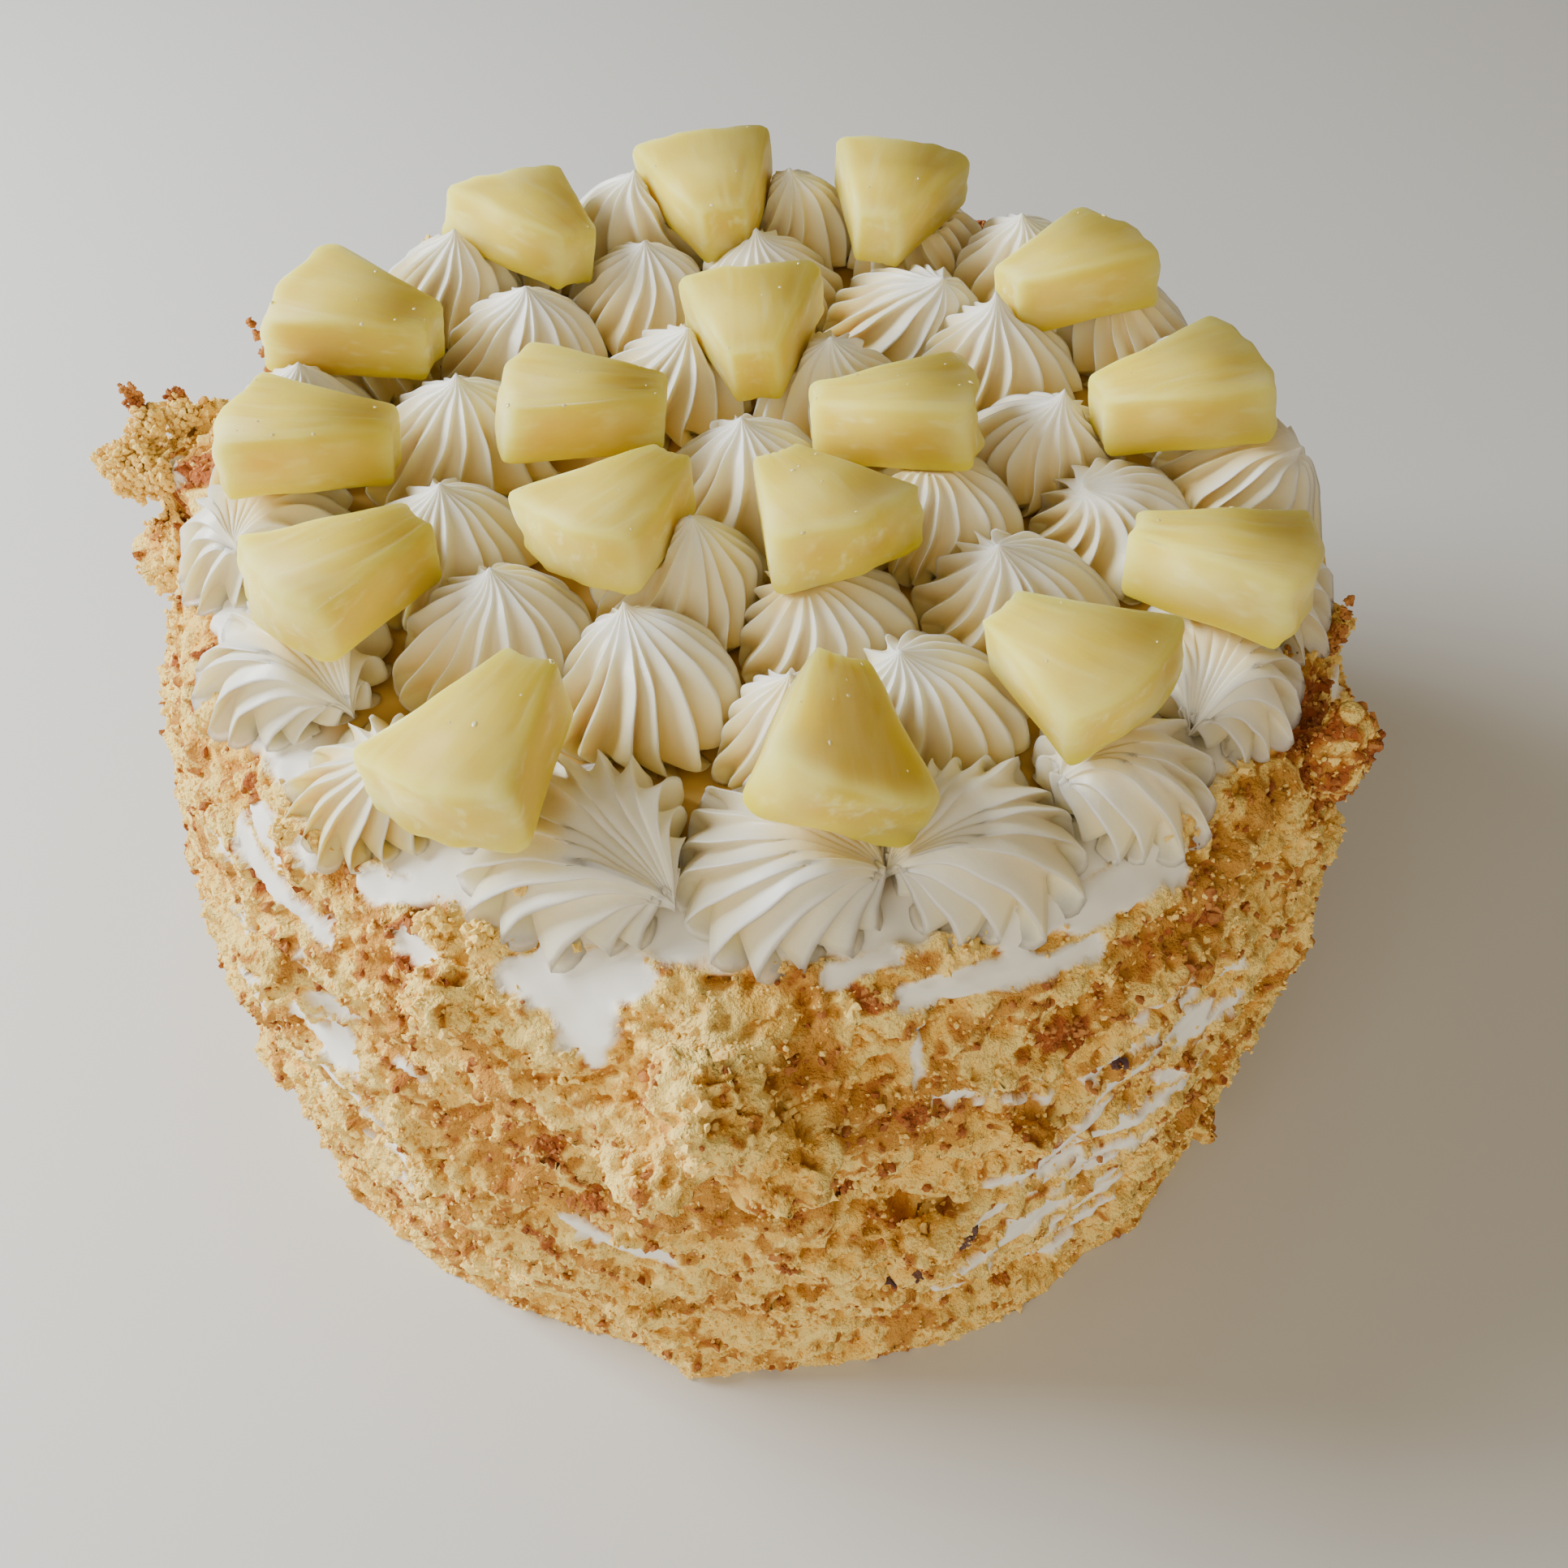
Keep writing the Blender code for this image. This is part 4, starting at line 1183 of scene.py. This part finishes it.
# Painted shade: the cream on top, seen only in deep gaps between rosettes and fruit, is a darker gold,
# partly juice.
juice_and_gap_shade = ease(-radius, -82, -74) * (spots[:, 2] > 100 * MM)
masks = {"creamy": creamy, "baked": baked, "raised": raised, "recess_shade": recess_shade, "juice_and_gap_shade": juice_and_gap_shade}
for name, mask in masks.items():
    paint(coat, name, mask)
for number, (start, end) in enumerate(zip(SLICES, SLICES[1:]), start=1):
    part = slice_of(coat, start, end)
    finish_piece(f"crumbed_side_{number}", part, coat_finish, "sponge_crumb", "cake_body")
    part.calc_loop_triangles()
    print("coat slice", number, len(part.loop_triangles), "triangles")
coat.calc_loop_triangles()
print("share of the coat:", {name: round(float(mask.mean()), 2) for name, mask in masks.items()})

# %% [markdown]
# On the coat lie the loose crumbs. There are thousands, too many for an object each, so each
# kind is one joined mesh: a few rough shapes, each with very few faces, are copied to spots
# drawn at random on the coat, turned and sized by chance. Others cling together in heaps.

# %% Rough shapes
def rough_shapes(count, kind, seed):
    """A few rough crumbs of radius 1, all with the same faces."""
    shapes = []
    for index in range(count):
        bm = bmesh.new()
        if kind == "grain":
            bmesh.ops.create_uvsphere(bm, u_segments=4, v_segments=2, radius=1.0)
        elif kind == "chip":
            bmesh.ops.create_icosphere(bm, subdivisions=1, radius=1.0)
        else:
            bmesh.ops.create_cube(bm, size=1.3)
            bmesh.ops.subdivide_edges(bm, edges=bm.edges, cuts=1, use_grid_fill=True)
        mesh = mesh_of(bm)
        skin = points_of(mesh)
        skin *= (1 + 0.85 * grain(skin, 0.7, seed + 5.7 * index))[:, None]
        faces = [tuple(face.vertices) for face in mesh.polygons]
        shapes.append(skin)
        bpy.data.meshes.remove(mesh)
    return np.array(shapes), np.array(faces)


grains = rough_shapes(9, "grain", 20.0)
chips = rough_shapes(9, "chip", 1.0)
nibs = rough_shapes(9, "nib", 50.0)
print("faces of a grain, a chip and a nib:", [len(shapes[1]) for shapes in (grains, chips, nibs)])

# %% [markdown]
# Spots are drawn on the coat's triangles, large ones more often, with a weight that says
# where crumbs stick. Joining thousands of crumbs is a matter of copying the rough shapes'
# points, turned and sized, and counting their faces on.

# %% Scatter and heap
FULL_TURN = 6.28


def draw_spots(count, weight, rng):
    """Spots drawn at random on the coat: their places, normals and nearest points."""
    triangles = np.empty(len(coat.loop_triangles) * 3, dtype=np.int32)
    coat.loop_triangles.foreach_get("vertices", triangles)
    triangles = triangles.reshape(-1, 3)
    corners = spots[triangles]
    sides = corners[:, 1:] - corners[:, :1]
    area = np.linalg.norm(np.cross(sides[:, 0], sides[:, 1]), axis=1)
    chance = area * weight[triangles].mean(axis=1)
    picked = rng.choice(len(triangles), size=count, p=chance / chance.sum())
    shares = rng.dirichlet((1, 1, 1), size=count)[:, :, None]
    return (corners[picked] * shares).sum(axis=1), normals[triangles[picked, 0]], triangles[picked, 0]


def join_crumbs(name, shapes, centres, size, material, rng, flatten):
    """Rough shapes of these sizes, turned by chance and joined in one mesh."""
    skins, faces = shapes
    count = len(centres)
    centres[:, 2] = np.maximum(centres[:, 2], size * MM)
    angles = rng.uniform(0, FULL_TURN, (count, 3)).tolist()
    turns = np.array([Euler(three).to_matrix() for three in angles])
    stretch = np.column_stack((np.ones(count), rng.uniform(0.7, 1.1, count), np.full(count, flatten)))
    local = skins[rng.integers(len(skins), size=count)] * stretch[:, None, :]
    placed = np.einsum("nij,nkj->nki", turns, local) * (size * MM)[:, None, None] + centres[:, None, :]
    placed[:, :, 2] = np.maximum(placed[:, :, 2], 0.0)
    firsts = np.arange(count)[:, None, None] * skins.shape[1]
    joined = (faces[None] + firsts).reshape(-1, faces.shape[1])
    mesh = bpy.data.meshes.new(name)
    mesh.from_pydata(placed.reshape(-1, 3), [], joined)
    mesh.update()
    finish_piece(name, mesh, material, "sponge_crumb", smooth=False)
    print(name, count, "crumbs,", sum(len(face.vertices) - 2 for face in mesh.polygons), "triangles")


def scatter(name, shapes, weight, count, sizes, stand, material, seed, flatten=0.85):
    """Crumbs of one kind on the coat. stand is how far they stand off it in clumps."""
    rng = np.random.default_rng(seed)
    where, away, nearest = draw_spots(count, weight, rng)
    size = sizes[0] + (sizes[1] - sizes[0]) * rng.random(count) ** 2
    lift = stand * rng.random(count) * clump[nearest]
    join_crumbs(name, shapes, where + away * (lift * MM)[:, None], size, material, rng, flatten)


def heap(name, shapes, heaps, sizes, material, seed):
    """Crumbs that cling together in rough balls, each a heap of grains round its middle."""
    rng = np.random.default_rng(seed)
    centres = []
    for lump in heaps:
        middle = np.array(polar(lump.angle, lump.reach)) + (0, 0, lump.height)
        aim = rng.normal(size=(lump.count, 3))
        aim /= np.linalg.norm(aim, axis=1, keepdims=True)
        uneven = 1 + 0.6 * grain(aim, 0.8, lump.angle)
        depth = rng.random(lump.count) ** 0.4
        centres.append(middle + aim * (lump.spread * uneven * depth)[:, None])
    centres = np.concatenate(centres) * MM
    size = rng.uniform(*sizes, len(centres))
    join_crumbs(name, shapes, centres, size, material, rng, 0.85)


print("crumbs are drawn on", len(coat.loop_triangles), "triangles")

# %% [markdown]
# Where crumbs fall is a weight on every point of the coat. Fewer fall where the cream shows,
# more near the foot, and the baked ones gather where the coat is baked. Most are fine
# grains; chips and nibs are the larger bits.

# %% Scatter the crumbs
height = spots[:, 2] / MM
on_side = ease(radius, 85.5, 88.0)
dry = ((1 - creamy) ** 2 + 0.02) * on_side
clump = ease(grain(spots, 8 * MM, 70), -0.1, 0.4)
foot = 1 + 1.2 * ease(-height, -9, -1)
few = 1
fresh = dry * (0.15 + raised) * (1 - 0.85 * baked) * foot
lumpy = dry * (0.1 + raised + clump) * (1 - 0.8 * baked) * foot
golden = dry * (1.3 - raised) * foot
crusty = dry * (0.002 + baked ** 3)
DARK_STROKES = tuple(Stroke(*row) for row in (
    (-78, 31, -74, 35, 1.3), (-74, 39, -71, 43, 1.1), (-59, 76, -58, 77, 1.0),
))
dark = ease(stroke_strength(spots, DARK_STROKES), 0, 0.5)
scatter("pale_grains", grains, fresh, 23000 // few, (0.28, 0.6), 0.6, pale_sponge, 1)
scatter("golden_grains", grains, golden, 18000 // few, (0.28, 0.6), 0.4, golden_sponge, 2)
scatter("pale_crumbs", chips, lumpy, 6000 // few, (0.4, 0.9), 0.8, pale_sponge, 3)
scatter("sponge_nibs", nibs, lumpy, 600 // few, (0.8, 1.5), 0.8, pale_sponge, 6)
scatter("crust_bits", chips, crusty, 6000 // few, (0.4, 1.0), 0.5, baked_crust, 4, 0.6)
scatter("dark_bits", nibs, dark, 60, (0.6, 1.3), 0.3, dark_crust, 5, 0.4)

# %% [markdown]
# A few larger pieces of sponge stick up at the rim, and small ones have come to lie on the
# cream. They are heaps of the same rough grains: an angle, a distance from the middle, a
# height, how wide the heap is and how many grains it has. A row of small heaps, one above
# the other, is a thin stick of crust.

# %% Heap the crumbs at the rim
Heap = namedtuple("Heap", "angle reach height spread count")
RIM_HEAPS = tuple(Heap(*row) for row in (
    (171, 109, 105, 5.2, 1100), (168, 107, 110, 3.0, 320), (165, 104, 108, 3.4, 360),
    (172, 103, 105, 3.0, 200), (132, 96, 106, 4.0, 400), (130, 97, 111, 2.4, 200),
    (64, 95, 107, 3.0, 260), (-117, 91, 107, 2.4, 180), (-113, 90, 107, 1.8, 100),
    (-110, 85, 113.5, 0.9, 24), (-134, 92, 108, 1.6, 80),
))
BAKED_HEAPS = tuple(Heap(*row) for row in (
    (167, 109, 113, 1.8, 110), (167.5, 109, 116, 1.2, 50), (156, 93, 108, 1.3, 50),
    (156, 95, 110, 1.1, 40), (155.5, 96, 112.5, 0.9, 30), (155, 97, 115, 0.8, 26),
    (155, 98, 117.3, 0.6, 16), (-16, 94.5, 101.8, 1.1, 36), (-16, 95, 104, 0.9, 30),
    (-16, 95, 106.2, 0.8, 26), (-15.5, 95, 108.4, 0.7, 22), (-15, 95, 110.6, 0.6, 16),
    (62, 96, 109, 1.8, 90), (134, 98, 104, 1.8, 70), (164, 105, 111, 1.7, 80),
))
heap("rim_heaps", chips, RIM_HEAPS, (0.35, 0.8), pale_sponge, 21)
heap("baked_heaps", chips, BAKED_HEAPS, (0.3, 0.65), baked_crust, 22)

# %% [markdown]
# The floor is a plain pale sheet, which isn't part of the cake. It sends a little light back
# up to the side.

# %% Lay the floor
FLOOR_HALF = 3.0
FLOOR_TONE = (0.66, 0.65, 0.62)
floor_bm = bmesh.new()
bmesh.ops.create_grid(floor_bm, x_segments=1, y_segments=1, size=FLOOR_HALF)
floor_mesh = mesh_of(floor_bm)
floor = bpy.data.objects.new("floor", floor_mesh)
bpy.context.scene.collection.objects.link(floor)
pale_floor, _, floor_shader = new_finish("pale_floor", roughness=0.6)
floor_shader.inputs["Base Color"].default_value = (*FLOOR_TONE, 1.0)
floor_mesh.materials.append(pale_floor)
print("laid", floor.name)
